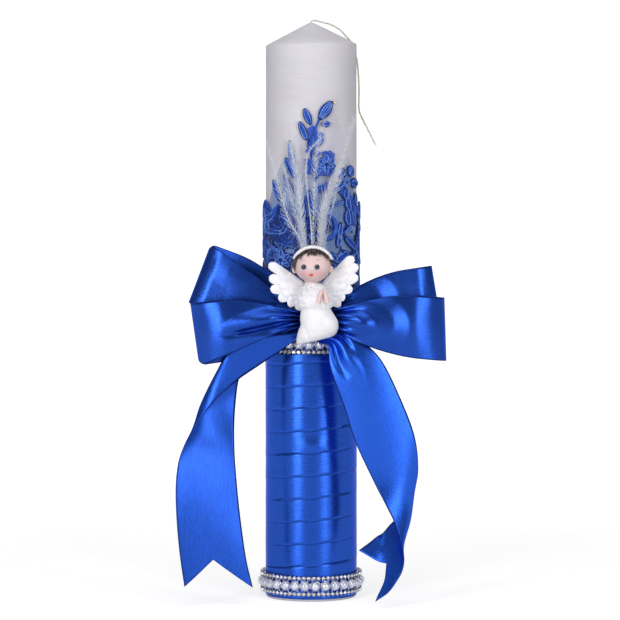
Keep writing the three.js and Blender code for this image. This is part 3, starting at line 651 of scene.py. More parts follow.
@dataclass(frozen=True)
class CordFinish:
    """A twisted or braided thread, with a soft sheen."""

    name: str
    dark: Colour
    light: Colour
    roughness: float = 0.7
    sheen: float = 0.3
    grain: float = 2600
    depth: float = 0.15
    gloss: float = 0.5

    def build(self) -> Material:
        """Makes the material."""
        bench = Bench(
            self.name,
            Roughness=self.roughness,
            Sheen_Weight=self.sheen,
            Sheen_Roughness=0.5,
            Specular_IOR_Level=self.gloss,
        )
        twist = bench.speckle((self.grain, self.grain, self.grain * 0.6), 2)
        patches = bench.speckle((220, 220, 220), 2)
        bench.paint(bench.mixed(twist, patches, 0.5), [(0.55, self.dark), (0.95, self.light)])
        bench.relief(twist, 0.5, self.depth)
        return bench.material


@dataclass(frozen=True)
class NetFinish:
    """Fine tulle: a grey-blue net whose tiny holes let the wax show through."""

    name: str = "blue_tulle"
    thread: Colour = (0.24, 0.39, 0.76)
    shadow: float = 0.72
    mesh_size: float = 0.75
    mesh_scatter: float = 0.25
    thread_edges: Flat = (0.08, 0.30)
    hole_cover: float = 0.60
    single_from: float = 250.0
    single_to: float = 292.0
    single_cover: float = 0.07

    def build(self) -> Material:
        """Makes the material; above the band the net is a single layer that hardly shows."""
        bench = Bench(self.name, Roughness=0.75, Sheen_Weight=0.25)
        darker = tuple(self.shadow * part for part in self.thread)
        bench.paint(bench.speckle((90, 90, 60), 3), [(0.35, darker), (0.7, self.thread)])
        cells = bench.cells(1 / (self.mesh_size * MM), self.mesh_scatter, from_edge=True)
        holes = bench.span(cells, 1.0, self.hole_cover, *self.thread_edges)
        start, end = self.single_from * MM, self.single_to * MM
        fade = bench.span(bench.axis("Z"), 1.0, self.single_cover, start, end)
        bench.join(bench.maths("MULTIPLY", holes, fade), bench.shader.inputs["Alpha"])
        return bench.material


@dataclass(frozen=True)
class PearlFinish:
    """Imitation pearl: a bluish lustre coat over a grey-white bead."""

    name: str = "pearl_lustre"
    dark: Colour = (0.46, 0.50, 0.67)
    light: Colour = (0.74, 0.76, 0.87)

    def build(self) -> Material:
        """Makes the material."""
        bench = Bench(
            self.name, Roughness=0.14, Metallic=0.45, Coat_Weight=1.0, Coat_Roughness=0.05, Coat_IOR=1.7
        )
        bench.paint(bench.speckle((260, 260, 200), 2), [(0.3, self.dark), (0.7, self.light)])
        return bench.material


@dataclass(frozen=True)
class MetalFinish:
    """Bright silver plating, a little worn."""

    name: str = "silver_plate"
    colour: Colour = (0.88, 0.87, 0.89)
    tarnish: Colour = (0.22, 0.22, 0.26)
    roughness: float = 0.24

    def build(self) -> Material:
        """Makes the material."""
        bench = Bench(self.name, Metallic=1.0)
        patches = bench.speckle((700, 700, 700), 3)
        bench.paint(patches, [(0.35, self.tarnish), (0.6, self.colour)])
        rough = bench.span(patches, self.roughness + 0.12, self.roughness - 0.06)
        bench.join(rough, bench.shader.inputs["Roughness"])
        bench.relief(bench.speckle((1500, 1500, 1500), 2), 0.15, 0.05)
        return bench.material


@dataclass(frozen=True)
class StoneFinish:
    """Foil-backed rhinestone, coloured in bright and dark cells that stand for the reflections of its
    facets: painted reflections.
    """

    name: str = "rhinestone"
    dark: Colour = (0.74, 0.75, 0.82)
    light: Colour = (0.97, 0.97, 0.98)

    def build(self) -> Material:
        """Makes the material."""
        bench = Bench(self.name, Roughness=0.1, Metallic=0.3, Coat_Weight=1.0, Coat_Roughness=0.02)
        # The light and dark cells are painted facet reflections.
        bench.paint(bench.cells(1100), [(0.15, self.light), (0.75, self.dark)])
        return bench.material


@dataclass(frozen=True)
class PaintFinish:
    """Matt paint or bare resin, with a fine grain."""

    name: str
    dark: Colour
    light: Colour
    roughness: float = 0.6
    grain: float = 900
    depth: float = 0.08
    strength: float = 0.3
    soft: float = 0.0

    def build(self) -> Material:
        """Makes the material."""
        bench = Bench(
            self.name,
            Roughness=self.roughness,
            Subsurface_Weight=self.soft,
            Subsurface_Scale=0.0015,
            Subsurface_Radius=(1.0, 0.6, 0.5),
        )
        bench.paint(bench.speckle((self.grain / 4,) * 3, 3), [(0.3, self.dark), (0.65, self.light)])
        bench.relief(bench.speckle((self.grain,) * 3, 3), self.strength, self.depth)
        return bench.material


@dataclass(frozen=True)
class SkinFinish:
    """Painted skin: pale pink, rosier towards the cheeks and round the mouth."""

    name: str = "painted_skin"
    pale: Colour = (0.80, 0.60, 0.60)
    rosy: Colour = (0.86, 0.42, 0.46)
    blushes: tuple[Four, ...] = (
        (-4.2, -66.5, 218.6, 4.6), (4.6, -66.5, 218.6, 4.6), (0, -69, 217.4, 3.4),
    )

    def build(self) -> Material:
        """Makes the material; a blush is a soft spot with a place on the face and a size."""
        bench = Bench(
            self.name, Roughness=0.5, Subsurface_Weight=0.12, Subsurface_Scale=0.0015, Coat_Weight=0.1
        )
        place = bench.add("ShaderNodeTexCoord").outputs["Object"]
        spots: list[Socket] = []
        for x, y, z, size in self.blushes:
            far = bench.add("ShaderNodeVectorMath", operation="DISTANCE")
            far.inputs[1].default_value = (x * MM, y * MM, z * MM)
            bench.join(place, far.inputs[0])
            spots.append(bench.span(far.outputs["Value"], 0.0, 1.0, size * MM, 0.0, smooth=True))
        total = spots[0]
        for spot in spots[1:]:
            total = bench.maths("MAXIMUM", total, spot)
        bench.paint(total, [(0.0, self.pale), (1.0, self.rosy)])
        return bench.material


# Studio


@dataclass
class Studio:
    """Camera, lamps, floor and backdrop."""

    lens: float = 184.6
    sensor: float = 36.0
    camera_place: Sequence[float] = (-0.8, -2105.2, 317.8)
    camera_pitch: float = 3.46
    sight: float = 20000.0
    floor_half_width: float = 5000.0
    backdrop_distance: float = 2500.0
    backdrop_height: float = 4400.0
    aim: Sequence[float] = (0.0, 0.0, 200.0)
    box_angle: float = 34.0
    box_distance: float = 1400.0
    box_middle: float = 330.0
    box_size: Flat = (330.0, 1100.0)
    box_watts: float = 9.0
    box_balance: Flat = (1.12, 0.88)
    fill_place: Sequence[float] = (0.0, -500.0, 1500.0)
    fill_size: Flat = (900.0, 900.0)
    fill_watts: float = 5.5
    room_light: float = 0.30
    near_floor: float = 250.0
    far_floor: float = 900.0
    far_glow: float = 0.98
    floor_tone: Flat = (0.55, 0.70)
    backdrop_tone: Flat = (0.5, 0.98)

    def place_camera(self) -> None:
        """Puts the camera where the photograph was taken from."""
        data = bpy.data.cameras.new("photo_camera")
        data.lens = self.lens
        data.sensor_width = self.sensor
        data.clip_end = self.sight * MM
        camera = bpy.data.objects.new("photo_camera", data)
        camera.location = Vector(self.camera_place) * MM
        camera.rotation_euler = (radians(90 - self.camera_pitch), 0, 0)
        bpy.context.scene.collection.objects.link(camera)
        bpy.context.scene.camera = camera

    def _lamp(self, name: str, place: Vector, size: Flat, watts: float) -> None:
        """Hangs one soft lamp that faces the candle.

        Args:
            name: the lamp's name.
            place: where it hangs, in millimetres.
            size: its width and height, in millimetres.
            watts: its power.
        """
        data = bpy.data.lights.new(name, "AREA")
        data.shape = "RECTANGLE"
        data.size, data.size_y = size[0] * MM, size[1] * MM
        data.energy = watts
        lamp = bpy.data.objects.new(name, data)
        lamp.location = place * MM
        lamp.rotation_euler = (Vector(self.aim) - place).to_track_quat("-Z", "Y").to_euler()
        bpy.context.scene.collection.objects.link(lamp)

    def hang_lamps(self) -> None:
        """Hangs the two tall soft boxes, the top fill and the room's own light."""
        for name, side, share in zip(("left_box", "right_box"), Side, self.box_balance):
            place = around(self.box_distance, side * self.box_angle, self.box_middle)
            self._lamp(name, place, self.box_size, self.box_watts * share)
        self._lamp("top_fill", Vector(self.fill_place), self.fill_size, self.fill_watts)
        world = bpy.data.worlds.new("studio_room")
        world.use_nodes = True
        tree = world.node_tree
        tree.nodes.clear()
        output, mix, rays = (
            tree.nodes.new(f"ShaderNode{kind}") for kind in ("OutputWorld", "MixShader", "LightPath")
        )
        tree.links.new(rays.outputs["Is Camera Ray"], mix.inputs["Fac"])
        for entry, strength in ((1, self.room_light), (2, 1.0)):
            light = tree.nodes.new("ShaderNodeBackground")
            light.inputs["Color"].default_value = (1, 1, 1, 1)
            light.inputs["Strength"].default_value = strength
            tree.links.new(light.outputs[0], mix.inputs[entry])
        tree.links.new(mix.outputs[0], output.inputs["Surface"])
        bpy.context.scene.world = world

    def _backing(self, name: str, tone: Flat) -> Material:
        """Makes the pale material of the floor or backdrop.

        Args:
            name: the material's name.
            tone: how pale it is, and its glow near the candle for the camera, gloss and glass.

        Returns:
            The material.
        """
        pale, glow = tone
        bench = Bench(name, Base_Color=(pale, pale, pale, 1), Roughness=0.9, Specular_IOR_Level=0.1)
        rays = bench.add("ShaderNodeLightPath").outputs
        seen = bench.maths("MAXIMUM", rays["Is Camera Ray"], rays["Is Glossy Ray"])
        either = bench.maths("MAXIMUM", seen, rays["Is Transmission Ray"])
        reach = bench.add("ShaderNodeVectorMath", operation="LENGTH")
        bench.join(bench.where((1, 1, 1)), reach.inputs[0])
        near, far = self.near_floor * MM, self.far_floor * MM
        power = bench.span(reach.outputs["Value"], glow, self.far_glow, near, far, smooth=True)
        emission = bench.add("ShaderNodeEmission")
        bench.join(bench.maths("MULTIPLY", either, power), emission.inputs["Strength"])
        total = bench.add("ShaderNodeAddShader")
        bench.join(bench.shader.outputs[0], total.inputs[0])
        bench.join(emission.outputs[0], total.inputs[1])
        bench.join(total.outputs[0], bench.output.inputs["Surface"])
        return bench.material

    def lay_floor(self) -> None:
        """Lays the pale floor and stands the white backdrop behind it."""
        half, deep, tall = self.floor_half_width, self.backdrop_distance, self.backdrop_height
        floor_bm, back_bm = bmesh.new(), bmesh.new()
        shape_grid(floor_bm, 4, 4, lambda u, v: Vector((lerp(-half, half, u), lerp(-deep, deep, v), 0)))
        floor = from_bmesh("floor", floor_bm, self._backing("pale_floor", self.floor_tone))
        shape_grid(back_bm, 4, 4, lambda u, v: Vector((lerp(-half, half, u), deep, lerp(0, tall, v))))
        back = from_bmesh("backdrop", back_bm, self._backing("white_backdrop", self.backdrop_tone))


# Candle and wick


@dataclass
class WickTail:
    """The free end of the waxed wick, a cord that bends over the right shoulder."""

    diameter: float = 1.4
    length: float = 111.0
    strands: int = 3
    twists: int = 26
    strand_depth: float = 0.14
    rounded_end: float = 0.0125
    route: tuple[Spot, ...] = (
        (0, 0, 379.6), (0, 0.1, 381), (1.4, 0.5, 382), (4.1, 1.6, 381.5), (7.5, 3.2, 380.7),
        (11.4, 5, 379.8), (14.3, 6.6, 378.8), (17.2, 8.4, 377.2), (20.1, 10.4, 375.2), (22, 12, 373),
        (23.6, 13.4, 371.3), (25.6, 14.8, 369.4), (27.6, 14.9, 366), (29.3, 12.6, 360.8), (30.5, 10, 355.2),
        (31.2, 7.4, 347.3), (31.6, 5.4, 339), (31.6, 3.9, 331), (31.5, 2.7, 325.4), (32.2, 1.8, 321),
        (34.1, 1.2, 316.7), (36.5, 0.5, 312), (38.8, 0, 307.5), (41, -0.4, 303), (43.1, -1, 299),
    )

    def build(self, cotton: Material) -> None:
        """Args:
            cotton: the wick's finish.
        """
        track = Track(smooth_line(self.route, 160))
        radius = self.diameter / 2

        def surface(u: float, v: float) -> Vector:
            point, side, up = track.at(u)
            turn = tau * v
            groove = 1 - cos(self.strands * turn - tau * self.twists * u)
            end = rounded(clamp(1 - (1 - u) / self.rounded_end))
            thick = radius * (1 - self.strand_depth * groove) * max(end, 0.05)
            return point + (side * cos(turn) + up * sin(turn)) * thick

        bm = bmesh.new()
        shape_grid(bm, 320, 12, surface, ring=True)
        close_up(bm)
        piece = settle(from_bmesh("waxed_wick", bm, cotton), ["wick_tail"])


@dataclass
class WaxPillar:
    """The candle itself: a round pillar with a low cone and the wick's bore."""

    radius: float = 30.0
    height: float = 380.0
    cone: float = 15.2
    bore: float = 1.0
    bore_floor: float = 6.0
    foot: float = 0.8
    shoulder: float = 0.7
    lip: float = 1.4
    wave: float = 0.12
    wall_rings: int = 40
    cone_rings: int = 6
    steps: int = 144
    level_below: float = 300.0
    top_rise: float = 1.2
    top_tilt: float = 0.02

    def _profile(self) -> list[Flat]:
        """Gives the half section, from the foot's middle up to the bore's floor."""
        slope = self.cone / self.radius
        top = self.height - self.cone
        points = [(0.0, 0.0), (self.radius - self.foot, 0.0)]
        for turn in (pi / 8 * k for k in range(1, 5)):
            points.append((self.radius - self.foot * (1 - sin(turn)), self.foot * (1 - cos(turn))))
        for k in range(1, self.wall_rings):
            height = lerp(self.foot, top - self.shoulder, k / self.wall_rings)
            wave = self.wave * sin(height * 0.07) * sin(height * 0.023)
            points.append((self.radius + wave, height))
        for share in (k / 4 for k in range(5)):
            drop = self.shoulder * (1 - share - slope * share)
            points.append((self.radius - self.shoulder * share**1.6, top - drop))
        for k in range(1, self.cone_rings + 1):
            radius = lerp(self.radius - self.shoulder, self.bore + self.lip, k / self.cone_rings)
            points.append((radius, self.height - radius * slope))
        rim = self.height - self.bore * slope
        points += [(self.bore + 0.5, rim - 0.35), (self.bore, self.height - self.lip)]
        return [*points, (self.bore, self.bore_floor), (0.0, self.bore_floor)]

    def build(self, wax: Material) -> None:
        """Turns the pillar.

        Args:
            wax: the wax finish.
        """
        bm = bmesh.new()
        spots = [bm.verts.new((radius, 0, height)) for radius, height in self._profile()]
        line = spots + [bm.edges.new(pair) for pair in zip(spots, spots[1:])]
        upright, foot, whole = (0, 0, 1), (0, 0, 0), tau
        bmesh.ops.spin(bm, geom=line, axis=upright, cent=foot, steps=self.steps, angle=whole, use_merge=True)
        weld(bm, 10 * TOUCH)
        for vert in bm.verts:
            high = smoothstep(self.level_below, self.height - self.cone, vert.co.z)
            vert.co.z += high * (self.top_rise + self.top_tilt * vert.co.x)
        turn_out(bm)
        settle(from_bmesh("pillar_wax", bm, wax), ["wax_pillar"])


@dataclass
class WoundRibbon:
    """Satin ribbon wound up the lower candle, each turn's lower edge over the turn below."""

    bottom: float = 1.5
    top: float = 163.5
    pitch: float = 14.9
    overlap: float = 1.6
    inner: float = 30.35
    rise: float = 0.13
    thickness: float = 0.05
    wander: float = 0.35
    fold: float = 0.12
    pucker: float = 0.06
    crease: float = 0.2
    dent: Five = (4.0, 103.6, 15.0, 3.0, 0.7)
    steps: int = 84
    across: int = 8
    end_trim: float = 2.0
    # blue and edge_blue are a slightly darker copy of the ribbon's blue and selvedge for the wound turns,
    # set to dim how they are lit: painted shade.
    blue: Colour = (0.0145, 0.080, 0.48)
    edge_blue: Colour = (0.012, 0.066, 0.40)

    def build(self) -> None:
        """Winds the ribbon as one cloth."""
        half = (self.pitch + self.overlap) / 2
        first = (self.end_trim - half) / self.pitch
        last = (self.top - self.bottom - self.end_trim + half) / self.pitch
        turns = last - first
        angle, level, spread, tall, depth = self.dent

        def surface(u: float, v: float) -> Vector:
            turn = lerp(first, last, u)
            middle = self.bottom + self.pitch * turn
            wander = self.wander * waver(turn * 1.7, 3.1, 0)
            raw = middle + (2 * v - 1) * half + wander * (1 - abs(2 * v - 1))
            height = clamp(raw + wander, self.bottom, self.top)
            share = clamp((height - middle + half) / (2 * half))
            fold = self.fold * waver(turn * 5.2, share * 1.3, 7.7)
            pucker = self.pucker * waver(turn * 17, share * 2.2, 1.9) * (1 - 0.6 * share)
            here = max(0.0, waver(turn * 3.1, 0, 9))
            crease = self.crease * bell(share, 0.16, 0.12) * here
            kink = depth * bell(half_turn(360 * turn - angle), 0, spread) * bell(height, level, tall)
            worn = self.rise * (0.5 + 1.1 * waver(turn * 6.3, 2.0, 5.5)) * (1 - share)
            return around(self.inner + worn + fold + pucker + crease + kink, 360 * turn, height)

        bm = bmesh.new()
        shape_grid(bm, round(turns * self.steps), self.across, surface)
        turn_out(bm)
        length = turns * hypot(tau * self.inner, self.pitch)
        width = self.pitch + self.overlap
        satin = SatinFinish(
            "wound_satin", length, width, colour=self.blue, selvedge=self.edge_blue, selvedge_share=0.006
        )
        ribbon = satin.dress("wound_satin_ribbon", bm, self.thickness, "ribbon_wrap")


# Pearl and stone trims


class Row(IntEnum):
    """A row of stones, below or above the pearls."""

    BOTTOM = -1
    TOP = 1


@dataclass
class PearlTrim:
    """A ring of half pearls between two rows of stones in claw cups, joined by plated links."""

    prefix: str
    height: float
    inner: float
    pearl_turn: float
    pearl_count: int = 30
    pearl_radius: float = 3.25
    pearl_back: float = 0.4
    stone_count: int = 64
    stone_radius: float = 1.12
    stone_rise: float = 1.1
    cup_radius: float = 1.42
    cup_foot: float = 0.8
    cup_height: float = 1.2
    claw_radius: float = 0.34
    claw_reach: float = 1.22
    row_spacing: float = 10.6
    seat: float = 0.7
    seat_wire: float = 0.24
    link_wire: float = 0.22
    row_wire: float = 0.4

    def _stamp(self, bm: BMesh, made: list[Vert], degrees: float, height: float) -> None:
        """Moves new vertices from the origin onto the ring, with their +Z pointing outwards."""
        stand = around(self.inner + self.seat, degrees, self.height + height)
        turn = Vector((0, 0, 1)).rotation_difference(around(1, degrees, 0)).to_matrix().to_4x4()
        bmesh.ops.transform(bm, verts=made, matrix=Matrix.Translation(stand) @ turn)

    def _pearls(self, pearl: Material) -> None:
        """Makes the ring of half pearls."""
        bm = bmesh.new()
        for k in range(self.pearl_count):
            made = ball(bm, self.pearl_radius, 20, 14)
            links = {e for v in made for e in v.link_edges} | {f for v in made for f in v.link_faces}
            back = (0, 0, -self.pearl_back)
            cut = bmesh.ops.bisect_plane(
                bm, geom=made + list(links), plane_co=back, plane_no=(0, 0, 1), clear_inner=True
            )
            rim = [item for item in cut["geom_cut"] if isinstance(item, bmesh.types.BMEdge)]
            bmesh.ops.holes_fill(bm, edges=rim)
            left = [item for item in cut["geom"] if isinstance(item, Vert) and item.is_valid]
            self._stamp(bm, left, self.pearl_turn + 360 * k / self.pearl_count, 0)
        turn_out(bm)
        settle(from_bmesh(self.prefix + "_half_pearls", bm, pearl), [self.prefix + "_pearls"])

    def _stones(self, row: Row, stone: Material) -> None:
        """Makes one row of faceted stones."""
        bm = bmesh.new()
        for k in range(self.stone_count):
            made = rod(bm, 8, self.stone_radius, self.stone_radius * 0.55, 0.75)
            bmesh.ops.translate(bm, verts=made, vec=(0, 0, self.stone_rise))
            self._stamp(bm, made, 360 * (k + 0.5) / self.stone_count, row * self.row_spacing / 2)
        name = row.name.lower()
        piece = from_bmesh(f"{self.prefix}_rhinestones_{name}", bm, stone)
        piece.data.polygons.foreach_set("use_smooth", [False] * len(piece.data.polygons))
        settle(piece, [f"{self.prefix}_stones_{name}"])

    def _setting(self, silver: Material) -> None:
        """Makes the claw cups, the pearls' seats and the links between them."""
        bm = bmesh.new()
        foot = self.cup_radius * self.cup_foot
        for row, k in ((row, k) for row in Row for k in range(self.stone_count)):
            made = rod(bm, 8, foot, self.cup_radius, self.cup_height, capped=False)
            bmesh.ops.translate(bm, verts=made, vec=(0, 0, 0.5))
            made += bmesh.ops.create_circle(bm, cap_ends=True, segments=6, radius=foot)["verts"]
            for turn in (radians(45 + 90 * claw) for claw in range(4)):
                claw = bmesh.ops.create_icosphere(bm, subdivisions=1, radius=self.claw_radius)["verts"]
                spot = (self.claw_reach * cos(turn), self.claw_reach * sin(turn), self.cup_height)
                bmesh.ops.translate(bm, verts=claw, vec=spot)
                made += claw
            self._stamp(bm, made, 360 * (k + 0.5) / self.stone_count, row * self.row_spacing / 2)
        cups = from_bmesh(self.prefix + "_claw_cups", bm, silver)
        settle(cups, [])
        links = bundle(self.prefix + "_links", self._wires(), silver)
        settle(links, [self.prefix + "_band"])

    def _wires(self) -> list[Thread]:
        """Gives the wire ring round every pearl, the links from it and the wire behind each row."""
        threads: list[Thread] = []
        radius = self.inner + self.seat
        arc = in_degrees(self.pearl_radius / radius)
        for k in range(self.pearl_count):
            degrees = self.pearl_turn + 360 * k / self.pearl_count
            ring: list[Vector] = []
            for turn in (tau * s / 16 for s in range(17)):
                level = self.height + self.pearl_radius * sin(turn)
                ring.append(around(radius, degrees + arc * cos(turn), level))
            threads.append(strand(ring, self.seat_wire))
            for row in Row:
                for lean in (-0.5 * arc, 0.5 * arc):
                    low = around(radius, degrees + lean, self.height + row * self.pearl_radius * 0.85)
                    high = around(radius, degrees + 1.6 * lean, self.height + row * self.row_spacing * 0.46)
                    threads.append(strand([low, high], self.link_wire))
        for row in Row:
            level = self.height + row * self.row_spacing / 2
            threads.append(strand([around(radius, 360 * s / 96, level) for s in range(97)], self.row_wire))
        return threads

    def build(self, pearl: Material, stone: Material, silver: Material) -> None:
        """Makes the whole trim.

        Args:
            pearl: the pearls' finish.
            stone: the stones' finish.
            silver: the cups' and links' finish.
        """
        self._pearls(pearl)
        for row in (Row.TOP, Row.BOTTOM):
            self._stones(row, stone)
        self._setting(silver)


# Bow


@dataclass(frozen=True)
class Pleat:
    """A soft fold on a loop: where it runs, how wide it is and how far it stands out."""

    start: Flat
    end: Flat
    width: float
    height: float

    def lift(self, along: float, across: float) -> float:
        """Gives how far the fold raises the satin at a spot.

        Args:
            along: millimetres out from the knot.
            across: millimetres above the loop's axis.

        Returns:
            The rise towards the viewer, in millimetres.
        """
        begin, finish = Vector(self.start), Vector(self.end)
        run = finish - begin
        spot = Vector((along, across)) - begin
        share = spot.dot(run) / run.length_squared
        off = (spot - run * share).length / self.width
        fade = smoothstep(-0.25, 0.25, share) * (1 - smoothstep(0.75, 1.25, share))
        return self.height * exp(-off * off) * fade


@dataclass(frozen=True)
class Puff:
    """A puffed patch of satin: its middle, half sizes, height and how soft its edge is."""

    middle: Flat
    half: Flat
    height: float
    edge: float = 0.35

    def lift(self, along: float, across: float) -> float:
        """Gives how far the patch raises the satin at a spot, in millimetres."""
        a = (along - self.middle[0]) / self.half[0]
        w = (across - self.middle[1]) / self.half[1]
        away = clamp((hypot(a, w) - 1 + self.edge) / (2 * self.edge))
        return self.height * (1 - lerp(away, smoothstep(0, 1, away), 0.4))


@dataclass(frozen=True)
class BowLoop:
    """One open loop of the bow: its tilt, length and the folds of its front leaf."""

    name: str
    side: Side
    rise: float
    length: float
    front: bool
    top_cut: float
    bottom_cut: float
    pleats: tuple[Pleat | Puff, ...] = ()
    slant: float = 0.0
    late: float = 1.0
    corners: Flat = (0.0, 0.0)


@dataclass
class SatinBow:
    """The big bow: a knot and four loops of satin ribbon."""

    knot_x: float = 2.0
    knot_z: float = 188.0
    knot_width: float = 14.0
    knot_tall: float = 16.0
    knot_back: float = -32.3
    knot_depth: float = 13.4
    ribbon_width: float = 41.0
    root_width: float = 10.0
    rear_y: float = -36.9
    front_y: float = -41.9
    rear_lean: float = 6.0
    rear_belly: Flat = (9.0, 3.0)
    cloth: float = 0.8
    thickness: float = 0.35
    fold: Flat = (3.6, 1.2)
    slopes: tuple[Flat, ...] = (
        (0, 2), (0.2, 4), (0.45, 5), (0.6, 3.5), (0.72, 3), (0.79, 15), (0.86, 19), (0.91, 27), (0.96, 42),
        (1, 66),
    )
    spread: float = 0.77
    gathers: float = 2.3
    ripple: float = 0.35
    end_bend: float = 8.0
    girth: float = 46.0
    # The loops get a darker copy of the ribbon's blue than the knot, to tone down how brightly they are lit:
    # painted shade.
    blue: Colour = (0.0115, 0.062, 0.38)
    loops: tuple[BowLoop, ...] = (
        BowLoop(
            "upper_left", Side.LEFT, 20.8, 80.0, False, 8.0, 0.0,
            (Puff((59, 9), (10, 8), 0.9, 0.6), Pleat((8, -4), (44, -13), 3.2, -1.6)),
            0.0, 2.3, (4.0, 0.0),
        ),
        BowLoop(
            "upper_right", Side.RIGHT, 9.4, 81.0, False, 0.0, 0.0,
            (Puff((30, 6), (20, 15), 2.2, 0.3), Pleat((8, 2), (34, 3), 3.0, 1.4)),
            0.0, 2.1,
        ),
        BowLoop(
            "lower_left", Side.LEFT, -8.0, 78.5, True, 1.0, 9.0,
            (
                Puff((22, 4.0), (22, 5.0), 5.6, 0.7),
                Pleat((14, 0.5), (54, -2.4), 1.7, -2.4),
                Puff((18, -7.5), (22, 5.0), 5.2, 0.7),
                Puff((30, -20), (22, 6), -2.0, 0.4),
            ),
            0.0, 0.9, (0.0, 5.0),
        ),
        BowLoop(
            "lower_right", Side.RIGHT, -5.0, 85.5, True, 0.0, 1.0,
            (
                Puff((33, 0), (23, 18), 3.0, 0.26),
                Puff((25.5, -0.4), (11, 6), 3.0, 0.4),
            ),
            0.12,
        ),
    )

    def _stand(self, out: float, length: float, late: float) -> float:
        """Gives how far a front leaf stands off its turn, from the table of its slopes."""
        total, steps = 0.0, 24
        for k in range(steps):
            spot = lerp(out, 1.0, (k + 0.5) / steps) ** late
            for (low, first), (high, last) in zip(self.slopes, self.slopes[1:]):
                if low <= spot <= high:
                    total += tan(radians(lerp(first, last, (spot - low) / (high - low))))
                    break
        return total * (1 - out) / steps * length

    def _rounding(self, radius: float, left: float) -> float:
        """Gives how far a rounded corner draws an edge in, a given length before the loop's end."""
        near = clamp(1 - left / radius) if radius else 0.0
        return radius * (1 - rounded(near))

    def _loop_point(self, loop: BowLoop, u: float, v: float) -> Vector:
        """Gives a point on a loop.

        Args:
            loop: the loop.
            u: the share out along the back leaf and home along the front leaf.
            v: the share across the ribbon.

        Returns:
            The point, in millimetres.
        """
        tilt = radians(loop.rise)
        axis = Vector((loop.side * cos(tilt), 0, sin(tilt)))
        up = Vector((-loop.side * sin(tilt), 0, cos(tilt)))
        out = sin(pi * u)
        turn = -cos(pi * u)
        in_front = clamp(turn)
        along = lerp(self.knot_width / 2 - 0.6, loop.length, out)
        opening = sin(pi / 2 * min(1.0, out / self.spread))
        half = lerp(self.root_width / 2, self.ribbon_width / 2, opening)
        swell = max(0.0, sin(pi * min(1.0, out))) ** 0.6 * in_front
        left = (1 - min(out, 1.0)) * loop.length
        top = half - loop.top_cut * swell - self._rounding(loop.corners[0], left)
        bottom = -half + loop.bottom_cut * swell + self._rounding(loop.corners[1], left)
        across = lerp(bottom, top, v)
        along -= loop.slant * across * out
        fullness = 1 - (1 - out) ** 3
        crown = lerp(1.0, 0.78 + 0.22 * sin(pi * v), in_front)
        belly = self._stand(out, loop.length, loop.late) if turn > 0 else self.rear_belly[loop.front]
        fold = copysign((1 - min(out, 1.0) ** self.fold[0]) ** (1 / self.fold[1]), turn)
        middle = self.front_y if loop.front else self.rear_y + self.rear_lean * out
        depth = middle - fold * self.cloth
        if turn > 0:
            pleats = sum(pleat.lift(along, across) for pleat in loop.pleats)
            depth -= belly * fullness * crown + pleats * smoothstep(0.0, 0.35, turn)
        else:
            depth += belly * sin(pi * min(out, 1.0))
        gathers = self.gathers * (1 - smoothstep(0.02, 0.36, out)) * smoothstep(0, 0.06, out)
        ripple = waver(along * 0.045, across * 0.06, 3.3 * loop.side + loop.rise)
        depth -= gathers * cos(tau * (4 * v + 0.2)) + self.ripple * ripple * out
        return Vector((self.knot_x, depth, self.knot_z)) + axis * along + up * across

    def _loops(self) -> None:
        """Makes the four loops."""
        for loop in self.loops:
            bm = bmesh.new()
            shape_grid(bm, 128, 44, lambda u, v: self._loop_point(loop, u, v))
            length = 2 * loop.length + self.end_bend
            satin = SatinFinish(f"satin_{loop.name}", length, self.ribbon_width, colour=self.blue)
            piece = satin.dress(f"satin_loop_{loop.name}", bm, self.thickness, f"bow_loop_{loop.name}")

    def _knot(self) -> None:
        """Makes the knot, a band of ribbon gathered into upright folds."""
        centre = Vector((self.knot_x, self.knot_back - self.knot_depth / 2, self.knot_z))

        def surface(u: float, v: float) -> Vector:
            turn = tau * v
            rise = 2 * u - 1
            waist = 0.72 + 0.28 * cos(rise * pi / 2) ** 0.7
            reach = waist * (1 - 0.05 * (0.5 + 0.5 * cos(11 * turn + 2 * rise))) / 2
            x, y = self.knot_width * reach * sin(turn), -self.knot_depth * reach * cos(turn)
            return centre + Vector((x, y, rise * self.knot_tall / 2))

        bm = bmesh.new()
        shape_grid(bm, 24, 96, surface)
        weld(bm)
        close_up(bm)
        finish = SatinFinish("satin_knot_cloth", self.knot_tall, self.girth, selvedge_share=0.001).build()
        settle(from_bmesh("satin_knot", bm, finish), ["bow_knot"])

    def build(self) -> None:
        """Makes the knot and the loops."""
        self._knot()
        self._loops()


@dataclass(frozen=True)
class TailRails:
    """Three lines down a tail: one edge, the middle and the other edge, from the knot.

    Each point is (right of the knot, behind the knot's front, above the knot).
    """

    outside: tuple[Spot, ...]
    middle: tuple[Spot, ...]
    inside: tuple[Spot, ...]


